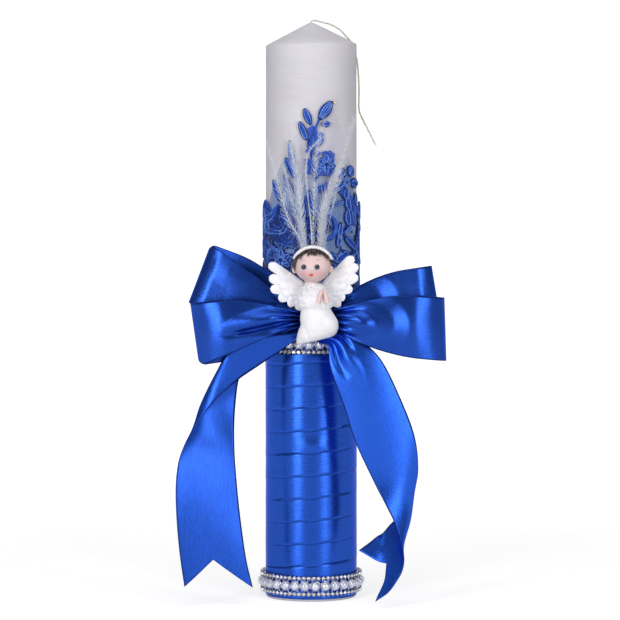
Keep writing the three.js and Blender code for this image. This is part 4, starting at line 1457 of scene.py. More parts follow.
@dataclass
class BowTail:
    """One tail of the bow, with a swallow-tail end."""

    name: str
    rails: TailRails
    length: float
    notch: float = 18.5
    along: int = 150
    across: int = 32
    origin: Sequence[float] = (2.0, -46.5, 188.0)
    width: float = 41.0
    thickness: float = 0.35
    folds: tuple[Puff, ...] = ()
    ripple: float = 0.5
    gathers: float = 1.7
    # The left tail keeps this darker copy of the ribbon's blue, which dims its lit face: painted shade.
    blue: Colour = (0.0125, 0.070, 0.44)

    def _line(self, rail: Sequence[Sequence[float]]) -> list[Vector]:
        """Turns one rail into an even line in the candle's own frame."""
        x0, y0, z0 = self.origin
        return smooth_line([(x0 + x, y0 - depth, z0 + z) for x, depth, z in rail], 200)

    def build(self) -> None:
        rails = self.rails.outside, self.rails.middle, self.rails.inside
        tracks = [Track(self._line(rail)) for rail in rails]
        share = self.notch / self.length

        def surface(u: float, v: float) -> Vector:
            reach = u * (1 - share * (1 - abs(2 * v - 1)))
            a, m, b = (track.at(reach)[0] for track in tracks)
            point = a * ((1 - v) * (1 - 2 * v)) + m * (4 * v * (1 - v)) + b * (v * (2 * v - 1))
            spot = (reach * self.length, (v - 0.5) * self.width)
            point.y -= sum(fold.lift(*spot) for fold in self.folds)
            ripple = waver(reach * 4.5, v * 1.4, 5.0 * len(self.name))
            point.y -= self.ripple * ripple * smoothstep(0.05, 0.3, reach)
            gathers = self.gathers * (1 - smoothstep(0.01, 0.09, reach)) * smoothstep(0.0, 0.02, reach)
            point.y -= gathers * cos(tau * (2.5 * v + 0.1))
            return point

        bm = bmesh.new()
        shape_grid(bm, self.along, self.across, surface)
        satin = SatinFinish(f"satin_{self.name}", self.length, self.width, colour=self.blue)
        piece = satin.dress(f"satin_{self.name}", bm, self.thickness, f"bow_{self.name}")


LEFT_TAIL = TailRails(
    outside=(
        (-2.6, -3.7, -10.6), (-9, -4.4, -12.6), (-24.9, -5.4, -23.7), (-37.3, -5.4, -32.1),
        (-49.8, -4.4, -40.7), (-63.9, -3.2, -53.2), (-73.1, -2.4, -64.8), (-80.9, -2, -75.7),
        (-87, 0.6, -88.8), (-89.5, 3, -100.9), (-90.1, 5, -115.9), (-89.2, 6, -135.3), (-87.3, 6, -155),
        (-84.5, 6, -174.7),
    ),
    middle=(
        (-3.8, -3.7, -8.6), (-16, -2.8, -10.5), (-34, -1.8, -12.5), (-49, -1.8, -16.5),
        (-57.5, -2.8, -24.5), (-63.4, -6.2, -35), (-69, -10, -48), (-72.5, -11, -60), (-71.6, -10.5, -73),
        (-70.6, -6.4, -88), (-70.8, -2.8, -102), (-70.4, -0.2, -118.5), (-68.6, 1.3, -137),
        (-66.2, 1.8, -155.5), (-62.2, 1.8, -175.5),
    ),
    inside=(
        (-5, -3.7, -6.6), (-14, -5, -11), (-26, -8, -17.5), (-38, -12, -25.5), (-46, -15, -33.5),
        (-49.6, -17, -42), (-51.2, -17.5, -53), (-52.2, -16, -66), (-52.4, -14, -78), (-52, -11, -91),
        (-50.9, -8, -105), (-49.4, -5.6, -121), (-47.2, -4, -139), (-44.4, -3, -158), (-40.1, -3, -176.6),
    ),
)
RIGHT_TAIL = TailRails(
    outside=(
        (-2.4, 0, -7.4), (2.4, 0, -15.4), (8.7, 0.8, -17.9), (9.6, 2, -28.5), (12.7, 3, -39.7),
        (19, 3.6, -56.4), (26.9, 4, -81), (39.1, 5.4, -107.2), (45.9, 7.4, -120.2), (53, 9.5, -134.8),
        (57.9, 11, -152.4), (57.4, 11.5, -162.3), (53.9, 11.5, -169.5), (48, 11.5, -177.6),
        (39.6, 11, -183.6),
    ),
    middle=(
        (-0.4, 0, -4), (5.8, 0, -10.5), (15.4, 1.6, -14.5), (21.6, 5, -24), (28, 6.4, -34), (35.4, 6.6, -52),
        (45, 5.6, -79), (57, 4, -104), (61.5, 2, -118), (62.5, 0, -133), (56, -1, -145), (50.5, 0, -154),
        (47, 1, -160), (43, 1.5, -166), (33.8, 1.5, -170),
    ),
    inside=(
        (1.6, 0, -0.6), (9.4, 0, -5.6), (20.5, 2, -8.8), (33.2, 3.6, -16.4), (43.8, 4.2, -27.5),
        (54.2, 4, -48), (65, 2, -76), (67.6, -2, -100), (64, -8, -115), (57, -13, -129), (50, -13, -136),
        (45, -11, -141.5), (40.9, -9, -143.7), (36, -7.5, -147.5), (29, -6, -152.5),
    ),
)


# Lace


@dataclass(frozen=True)
class Leaf:
    """A lace leaf lying on the candle: base, heading from upright, length and width."""

    angle: float
    height: float
    heading: float
    length: float
    width: float
    stripes: int = 1

    def spot(self, seat: float, along: float, side: float, rise: float) -> Vector:
        """Gives a point on or round the leaf.

        Args:
            seat: the radius that the leaf lies on.
            along: the share from base to tip.
            side: the share across, from -1 to 1.
            rise: how far it stands off.

        Returns:
            The point, in millimetres.
        """
        half = self.width / 2 * (0.10 + 0.90 * sin(pi * clamp(along)) ** 0.75)
        p, q = self.length * along, half * side
        turn = radians(self.heading)
        degrees = self.angle + in_degrees((p * sin(turn) + q * cos(turn)) / seat)
        return around(seat + rise, degrees, self.height + p * cos(turn) - q * sin(turn))


@dataclass(frozen=True)
class Opening:
    """A patch of the lace where only the net is left."""

    angle: float
    height: float
    half_angle: float
    half_height: float

    def holds(self, angle: float, height: float) -> bool:
        """Tells whether a spot of the candle's wall lies in the patch."""
        a, b = (angle - self.angle) / self.half_angle, (height - self.height) / self.half_height
        return a * a + b * b < 1


@dataclass
class Lace:
    """Corded guipure lace over tulle: a dense band below and a spray that climbs the front."""

    net_radius: float = 30.55
    net_bottom: float = 163.8
    net_side_top: float = 262.0
    net_peak_top: float = 327.0
    net_peak_angle: float = 20.0
    net_spans: Flat = (85.0, 52.0)
    seat: float = 31.1
    band_top: float = 253.5
    cord_radius: float = 0.36
    cord_grid: tuple[int, int] = (46, 88)
    left_out: float = 0.36
    fine_share: float = 0.28
    swirl: float = 8.0
    swirl_size: float = 15.0
    curls: int = 11
    seed: int = 11
    leaves: tuple[Leaf, ...] = (
        Leaf(9.4, 316.6, 36, 14.8, 7.8, 3), Leaf(12.6, 313.2, 80, 5.6, 4.3),
        Leaf(-0.6, 313.2, -22, 11.4, 5), Leaf(-5, 303, -22, 13.2, 4.8), Leaf(5.9, 299, 45, 6.6, 2.2),
        Leaf(2.6, 304.5, -150, 7.4, 4.2), Leaf(-20.2, 281.3, -10, 22, 4.4),
        Leaf(-20.9, 278.3, -25, 14.8, 5.6), Leaf(-41.1, 263.5, -24, 15.1, 5.8), Leaf(6, 277.6, -10, 8, 4),
        Leaf(-5.4, 254.4, -7, 12.6, 3.8), Leaf(70, 260, -14, 9, 4.6), Leaf(-22.4, 268.6, -30, 13.7, 3.8),
        Leaf(1.4, 254, -7, 17, 4.2),
    )
    band_leaves: tuple[Leaf, ...] = (
        Leaf(46, 266, 160, 10.4, 7.2), Leaf(47.4, 257.8, 172, 10.8, 7.4), Leaf(57, 258, 160, 12, 5.6),
        Leaf(84, 262.5, 182, 12.5, 4.4), Leaf(36.8, 242.6, -168, 9.9, 4.6),
        Leaf(43.1, 240.2, 125, 15.9, 6.2), Leaf(58.6, 247.4, -122, 10.4, 3.6),
        Leaf(29, 223.2, 58, 13.5, 7.4), Leaf(38, 249.5, 190, 12, 5.4), Leaf(51.2, 279.9, 33, 7.2, 9.4, 2),
        Leaf(53.6, 275.6, 96, 10.4, 7.4, 2), Leaf(46, 271.6, 180, 7.4, 9, 2),
        Leaf(39.8, 274.3, -118, 8.4, 7.4, 2), Leaf(41.4, 278.9, -37, 7.2, 8.4, 2),
        Leaf(23.4, 230, 143, 8.7, 4.6), Leaf(21, 260.3, 77, 12.2, 3), Leaf(70.1, 252.2, 131, 14.4, 3.8),
        Leaf(66.3, 230.4, 127, 16.1, 4.4), Leaf(46.1, 223.2, 61, 9.7, 4.4), Leaf(20, 219.5, 100, 12, 5),
        Leaf(-18, 276.1, -17, 15.4, 3), Leaf(-12, 246, 12, 13, 4.4), Leaf(-16, 252, -28, 12, 3.6),
    )
    flowers: tuple[Four, ...] = (
        (18, 287.4, 6.4, 31.1), (46, 275.8, 4, 31.3), (-37, 224.8, 7, 31.9),
    )
    clusters: tuple[Four, ...] = (
        (1, 307, 3.4, 4.4), (6.5, 305.4, 3.4, 3.4), (0.6, 298.6, 3, 4), (17, 293.6, 5.6, 3),
        (12.6, 284.6, 2.4, 6.4), (22, 284.4, 3.4, 6), (-1.4, 287, 2, 5), (14.4, 272, 2.4, 2.8),
        (38.5, 273, 2.6, 5), (54, 262, 4, 4), (57, 252, 3.6, 5), (68, 257, 3.4, 6),
    )
    stems: tuple[tuple[Flat, ...], ...] = (
        ((30.8, 244.9), (37.7, 242.5), (48.1, 243.9), (60, 247.1), (63.6, 251.6), (62, 257.7), (60, 263.8)),
        ((84.0, 262), (86.0, 252), (76.0, 243.0), (70.0, 234), (72, 226)),
        ((4.0, 299.0), (6.8, 300.2), (10.5, 303.6)),
        ((-3.8, 300.1), (0.5, 304), (4, 309), (9.4, 316.6)),
        ((4, 276), (3, 284), (0, 292), (0, 300)),
    )
    loop_cord: tuple[Flat, ...] = (
        (15.5, 253), (21, 253.2), (26.4, 251.8), (29.4, 248.6), (30.2, 244.9), (27.4, 241.2), (21.6, 239),
        (16, 239.4),
    )
    openings: tuple[Opening, ...] = (
        Opening(36, 253, 15, 8), Opening(27, 236, 12, 8), Opening(52, 236, 14, 7), Opening(66, 248, 8, 8),
        Opening(20, 262, 12, 7), Opening(-28, 230.6, 7.4, 2), Opening(-8, 262, 16, 9),
        Opening(118, 247, 12, 6), Opening(170, 238, 11, 6.5), Opening(-140, 246, 12, 6),
        Opening(-95, 232, 7, 4),
    )
    tip_pearl: Four = (28.0, 327.6, 1.15, 1.3)

    def _net_top(self, degrees: float) -> float:
        """Gives the height of the net's cut edge at an angle."""
        turn = half_turn(degrees) - self.net_peak_angle
        span = self.net_spans[0] if turn < 0 else self.net_spans[1]
        climb = max(0.0, 1 - abs(turn / span) ** 1.5)
        return lerp(self.net_side_top, self.net_peak_top, climb)

    def _band_top(self, degrees: float) -> float:
        """Gives the height of the dense band's edge at an angle."""
        turn = half_turn(degrees)
        return self.band_top + 3 * cos(radians(10 * turn)) + 7 * smoothstep(-20, -45, turn)

    def _is_open(self, degrees: float, height: float) -> bool:
        """Tells whether only the net is left at a spot."""
        turn = half_turn(degrees)
        return any(opening.holds(turn, height) for opening in self.openings)

    def _net(self) -> Piece:
        """Lays the tulle round the candle as one cloth."""

        def surface(u: float, v: float) -> Vector:
            degrees = 360 * u
            radius = self.net_radius + 0.1 * waver(degrees * 0.06, v * 9, 2)
            return around(radius, degrees, lerp(self.net_bottom, self._net_top(degrees), v))

        bm = bmesh.new()
        shape_grid(bm, 180, 48, surface, ring=True)
        return settle(from_bmesh("tulle_sleeve", bm, NetFinish().build()), ["tulle_net"])

    def _gap_shade(self, shade_navy: Material) -> None:
        """Lays a dark navy sheet under the band, which shows between the cords as painted shade."""

        def surface(u: float, v: float) -> Vector:
            degrees = 360 * u
            return around(self.seat + 0.15, degrees, lerp(self.net_bottom, self._band_top(degrees) - 0.8, v))

        bm = bmesh.new()
        shape_grid(bm, 220, 56, surface, ring=True)
        bare: list[bmesh.types.BMFace] = []
        for face in bm.faces:
            centre = face.calc_center_median()
            if self._is_open(in_degrees(atan2(centre.x, -centre.y)), centre.z):
                bare.append(face)
        bmesh.ops.delete(bm, geom=bare, context="FACES")
        settle(from_bmesh("lace_gap_shade_sheet", bm, shade_navy), ["lace_band"])

    def _wander(self, rng: random.Random, degrees: float, height: float) -> Thread:
        """Lays one short winding cord of the band."""
        points: list[Vector] = []
        lean = rng.uniform(-0.35, 0.35) + rng.choice((0, 0, 0, pi / 2))
        seat = self.seat + rng.uniform(0.35, 0.95)
        for _ in range(rng.randint(9, 17)):
            spot = around(seat, degrees, height)
            points.append(spot)
            heading = lean + self.swirl * noise.noise(spot / self.swirl_size) + rng.uniform(-0.25, 0.25)
            degrees += in_degrees(sin(heading) / self.seat)
            height += cos(heading)
            inside = self.net_bottom + 0.6 <= height <= self._band_top(degrees)
            if not inside or self._is_open(degrees, height):
                break
        return strand(points, self.cord_radius * rng.uniform(0.75, 1.1))

    def _cords(self, thread: Material, light: Material) -> None:
        """Covers the band with winding cords and finer threads in the light finish of painted highlights,
        and edges it.
        """
        rng = random.Random(self.seed)
        threads: list[Thread] = []
        fine: list[Thread] = []
        rows, columns = self.cord_grid
        for i, j in ((i, j) for i in range(rows) for j in range(columns)):
            degrees = 360 * (j + rng.random()) / columns
            height = lerp(self.net_bottom + 0.8, self._band_top(degrees) - 0.6, (i + rng.random()) / rows)
            if rng.random() < self.left_out or self._is_open(degrees, height):
                continue
            made = self._wander(rng, degrees, height)
            if len(made.points) > 4 and rng.random() < self.fine_share:
                lifted = [point + Vector((point.x, point.y, 0)) * (0.3 / self.seat) for point in made.points]
                fine.append(strand(lifted, 0.2))
            elif len(made.points) > 4:
                threads.append(made)
        for lift in (0.0, -1.1):
            spots = [(1.5 * k, self._band_top(1.5 * k) + lift) for k in range(241)]
            rim = [around(self.seat + 0.7, *spot) for spot in spots if not self._is_open(*spot)]
            threads += [strand(pair, 0.5) for pair in zip(rim, rim[1:]) if (pair[1] - pair[0]).length < 2]
        settle(bundle("lace_cords", threads, thread, sides=0), [])
        settle(bundle("lace_fine_cords", fine, light, sides=0), [])

    def _leaf_cord(self, leaf: Leaf, seat: float, radius: float = 0.42) -> Thread:
        """Gives the cord round a leaf's edge."""
        edge = [leaf.spot(seat, k / 14, 0.86, 0.45) for k in range(15)]
        edge += [leaf.spot(seat, 1 - k / 14, -0.86, 0.45) for k in range(1, 15)]
        return strand(edge, radius)

    def _leaf_ribs(self, leaf: Leaf, seat: float) -> list[Thread]:
        """Gives the cords inside a leaf, a loop inside its edge and its ribs, which carry painted
        highlights.
        """
        inner = [leaf.spot(seat, 0.1 + 0.8 * k / 12, 0.55, 1.15) for k in range(13)]
        inner += [leaf.spot(seat, 0.9 - 0.8 * k / 12, -0.55, 1.15) for k in range(13)]
        cords = [strand(inner, 0.25)]
        for k in range(leaf.stripes - 1):
            side = lerp(-0.2, 0.2, k / max(1, leaf.stripes - 2))
            cords.append(strand([leaf.spot(seat, 0.1 + 0.75 * s / 10, side, 1.4) for s in range(11)], 0.27))
        return cords

    def _pad_leaves(self, bm: BMesh, cords: list[Thread], ribs: list[Thread]) -> None:
        """Makes the stitched leaves with their cords.

        Args:
            bm: the bmesh that gets their padded middles.
            cords: the strands that get their edges.
            ribs: the strands that get their ribs.
        """
        for leaf in self.leaves + self.band_leaves:
            seat = self.seat + (0.0 if leaf in self.leaves else 0.3)

            def dome(u: float, v: float) -> Vector:
                side = 2 * v - 1
                stitch = 0.3 * cos(tau * (leaf.length * u + 1.2 * abs(side)) / 1.3)
                crown = (0.75 + stitch) * rounded(side) * sin(pi * u) ** 0.4
                return leaf.spot(seat, u, 0.86 * side, 0.25 + crown)

            shape_grid(bm, 30, 10, dome)
            cords.append(self._leaf_cord(leaf, seat))
            ribs += self._leaf_ribs(leaf, seat)

    def _pad_flowers(self, bm: BMesh, cords: list[Thread], ribs: list[Thread]) -> None:
        """Makes the flowers, each two rings of petals round a button.

        Args:
            bm: the bmesh that gets their padded petals.
            cords: the strands that get their edges.
            ribs: the strands that get their ribs.
        """
        for angle, height, radius, seat in self.flowers:
            for ring, (petals, reach, size) in enumerate(((6, 0.96, 0.735), (5, 0.64, 0.595))):
                lift = seat + 0.35 * ring
                for k in range(petals):
                    turn = 360 * (k + 0.5 * ring) / petals
                    aside, up = sin(radians(turn)), cos(radians(turn))
                    foot = angle + in_degrees(radius * 0.12 * aside / seat), height + radius * 0.12 * up
                    leaf = Leaf(*foot, turn, radius * reach, radius * size)

                    def petal(u: float, v: float) -> Vector:
                        side = 2 * v - 1
                        stitch = 0.26 * cos(tau * (side * 3 + u))
                        crown = (0.8 + stitch) * rounded(side) * sin(pi * u)
                        return leaf.spot(lift, u, side, 0.3 + crown)

                    shape_grid(bm, 12, 8, petal)
                    cords.append(self._leaf_cord(leaf, lift, 0.36))
                    ribs += self._leaf_ribs(leaf, lift)
            button: list[Vector] = []
            for turn in (pi * k / 6 for k in range(13)):
                aside, up = 0.16 * radius * sin(turn), 0.16 * radius * cos(turn)
                button.append(around(seat + 1.35, angle + in_degrees(aside / seat), height + up))
            cords.append(strand(button, 0.5))

    def _curls(self) -> list[Thread]:
        """Gives the curled cords between the leaves, cluster by cluster."""
        rng = random.Random(self.seed + 1)
        curls: list[Thread] = []
        for angle, height, across, tall in (cluster for cluster in self.clusters for _ in range(self.curls)):
            where = rng.uniform(0, tau)
            reach = sqrt(rng.random())
            heading = rng.uniform(0, tau)
            degrees = angle + in_degrees(across * reach * sin(where) / self.seat)
            high = height + tall * reach * cos(where)
            points: list[Vector] = []
            for _ in range(9):
                points.append(around(self.seat + rng.uniform(0.4, 0.8), degrees, high))
                heading += 0.75
                degrees += in_degrees(0.8 * sin(heading) / self.seat)
                high += 0.8 * cos(heading)
            curls.append(strand(points, 0.5))
        return curls

    def _spray(self, fill: Material, edge: Material, light: Material, curl: Material) -> None:
        """Makes the climbing leaves and flowers.

        Args:
            fill: the finish of their padded middles.
            edge: the finish of the cords that edge them.
            light: the finish of the ribs on them, painted highlights.
            curl: the finish of the curled cords between them.
        """
        bm = bmesh.new()
        cords: list[Thread] = []
        ribs: list[Thread] = []
        self._pad_leaves(bm, cords, ribs)
        self._pad_flowers(bm, cords, ribs)
        curls = self._curls()
        for stem in self.stems:
            line = smooth_line([around(self.seat + 0.7, *spot) for spot in stem], 26)
            curls.append(strand(line, 0.8))
            cords.append(strand([point + around(0.35, 0, 0.9) for point in line], 0.5))
        path = smooth_line([around(self.seat + 0.9, *spot) for spot in self.loop_cord], 40)
        for k in range(len(path) - 2):
            lean = Vector((0, 0, 0.5 if k % 2 else -0.5))
            curls.append(Thread([path[k] + lean, path[k + 1], path[k + 2] - lean], [1.0, 1.6, 1.0]))
        curls.append(strand(path, 1.6))
        turn_out(bm)
        spray = from_bmesh("lace_spray", bm, fill)
        names = [f"lace_leaf_{k + 1}" for k in range(len(self.leaves))]
        settle(spray, names + ["lace_flower_front", "lace_flower_right", "lace_flower_left"])
        settle(bundle("lace_spray_cords", cords, edge), [])
        settle(bundle("lace_spray_ribs", ribs, light), [])
        settle(bundle("lace_spray_curls", curls, curl), [])

    def _bead(self, pearl: Material) -> None:
        """Sews the gold bead on the tip of the spray."""
        angle, height, radius, rise = self.tip_pearl
        bm = bmesh.new()
        made = ball(bm, radius)
        bmesh.ops.translate(bm, verts=made, vec=around(self.seat + rise + 0.3, angle, height))
        settle(from_bmesh("lace_gold_bead", bm, pearl), ["lace_tip_pearl"])

    def _cotton(self, name: str, dark: Colour, light: Colour, grain: float) -> Material:
        """Makes the finish of one of the lace's matt cotton threads."""
        return CordFinish(name, dark, light, 0.5, 0.0, grain, gloss=0.22).build()

    def build(self) -> None:
        """Makes the net, the band, the spray and the bead."""
        thread = self._cotton("lace_thread", (0.014, 0.06, 0.38), (0.055, 0.165, 0.74), 1800)
        edge = self._cotton("lace_edge", (0.004, 0.018, 0.14), (0.012, 0.050, 0.34), 1800)
        fill = self._cotton("lace_fill", (0.008, 0.038, 0.32), (0.024, 0.105, 0.62), 1500)
        # The ribs and fine threads get a much lighter copy of the lace's blue: painted highlights.
        light = self._cotton("lace_painted_highlight", (0.09, 0.23, 0.70), (0.30, 0.50, 0.95), 1500)
        # The dark navy sheet under the band's cords is painted shade in the gaps between them.
        shade_navy = self._cotton("lace_painted_shade", (0.004, 0.016, 0.11), (0.012, 0.042, 0.23), 1200)
        gold = PearlFinish("gold_pearl", (0.55, 0.42, 0.22), (0.85, 0.76, 0.55)).build()
        net = self._net()
        self._gap_shade(shade_navy)
        self._cords(thread, light)
        self._spray(fill, edge, light, thread)
        self._bead(gold)


# Feathers


@dataclass(frozen=True)
class Feather:
    """One feather: its name, its layer from the candle, its root and the line of its quill."""

    name: str
    layer: int
    root: float
    route: tuple[Flat, ...]
    barb: float = 2.2
    bare: float = 0.3
    quill: float = 0.34
    fullness: float = 1.0


@dataclass
class FeatherTuft:
    """Seven white feathers tied in behind the angel."""

    knot_x: float = 2.0
    knot_z: float = 188.0
    foot: float = 8.3
    first_y: float = -34.9
    layer_pitch: float = 1.0
    spacing: float = 0.36
    quill_steps: int = 119
    quill_tip: float = 0.07
    barb_radii: Five = (0.11, 0.105, 0.09, 0.07, 0.035)
    seed: int = 40
    feathers: tuple[Feather, ...] = (
        Feather(
            "left", 3, -5, ((-7.4, 36), (-9.3, 50.4), (-15.8, 62), (-19.5, 72), (-24.2, 89.4), (-31, 115)),
            2.4, 0.12, 0.5, 0.4,
        ),
        Feather(
            "left_inner", 0, -3.4, ((-5, 36), (-6.4, 51), (-11.9, 66.8), (-16.4, 83), (-19.7, 99)),
            2.4, 0.12, 0.3, 0.5,
        ),
        Feather(
            "centre_left", 4, -1.8, ((-4.6, 36), (-7.4, 51), (-10, 82.9), (-12.6, 99), (-15.8, 114.7)),
            2.6, 0.1, 0.3, 0.9,
        ),
        Feather(
            "centre", 1, -0.4, ((-1, 36), (-2.2, 60), (-4.7, 83), (-5.4, 99), (-2.8, 109), (5, 117)),
            1.0, 0.6, 0.55, 0.6,
        ),
        Feather(
            "tall", 5, 1, ((0.4, 36), (-0.8, 53.6), (-0.2, 76.4), (0.5, 99), (3.7, 118.6), (6.9, 128)),
            2.4, 0.12, 0.22, 0.3,
        ),
        Feather(
            "right", 2, 2.6, ((3.6, 36), (4.6, 51), (5.7, 66.7), (10.2, 83), (15.4, 96), (17.6, 99)),
            2.9, 0.1, 0.5, 1.9,
        ),
        Feather(
            "right_tall", 6, 4.2,
            ((5.4, 36), (8.3, 53.5), (12.8, 76.3), (17.4, 99.7), (22.6, 118.6), (26.4, 131)),
            2.8, 0.5, 0.12, 0.3,
        ),
    )

    def _make(self, feather: Feather, down: Material, seed: int) -> None:
        """Makes one feather as a tapered quill with its barbs.

        Args:
            feather: the feather.
            down: its finish.
            seed: what its barbs' scatter starts from.
        """
        rng = random.Random(seed)
        y = self.first_y - self.layer_pitch * feather.layer
        spots = [(feather.root, self.foot), *feather.route]
        last = self.quill_steps
        line = smooth_line([(self.knot_x + x, y, self.knot_z + z) for x, z in spots], last + 1)
        length = sum((b - a).length for a, b in zip(line, line[1:]))
        threads = [Thread(line, [lerp(feather.quill, self.quill_tip, k / last) for k in range(last + 1)])]
        count = round(length * (1 - feather.bare) * feather.fullness / self.spacing)
        for k in range(count):
            share = lerp(feather.bare, 0.995, (k + rng.random()) / count)
            place = share * last
            low = min(int(place), last - 1)
            root = line[low].lerp(line[low + 1], place - low)
            ahead = (line[low + 1] - line[low]).normalized()
            vane = sin(pi * clamp((share - feather.bare) / (1.06 - feather.bare))) ** 0.45
            for side in Side:
                reach = feather.barb * vane * rng.uniform(0.55, 1.25) * (1.8 if rng.random() < 0.08 else 1.0)
                across = Vector((ahead.z, 0, -ahead.x)) * side
                lean = rng.uniform(1.0, 2.4)
                lift = Vector((0, rng.uniform(-0.35, 0.35), 0))
                points = [
                    root + (across * t**0.8 + ahead * lean * t + lift * t * t) * reach
                    for t in (0, 0.25, 0.5, 0.75, 1)
                ]
                threads.append(Thread(points, list(self.barb_radii)))
        piece = bundle(f"plume_{feather.name}", threads, down, sides=0)
        settle(piece, [f"feather_{feather.name}"])

    def build(self, down: Material) -> None:
        """Makes all the feathers.

        Args:
            down: their finish.
        """
        for k, feather in enumerate(self.feathers):
            self._make(feather, down, self.seed + k)


# Angel


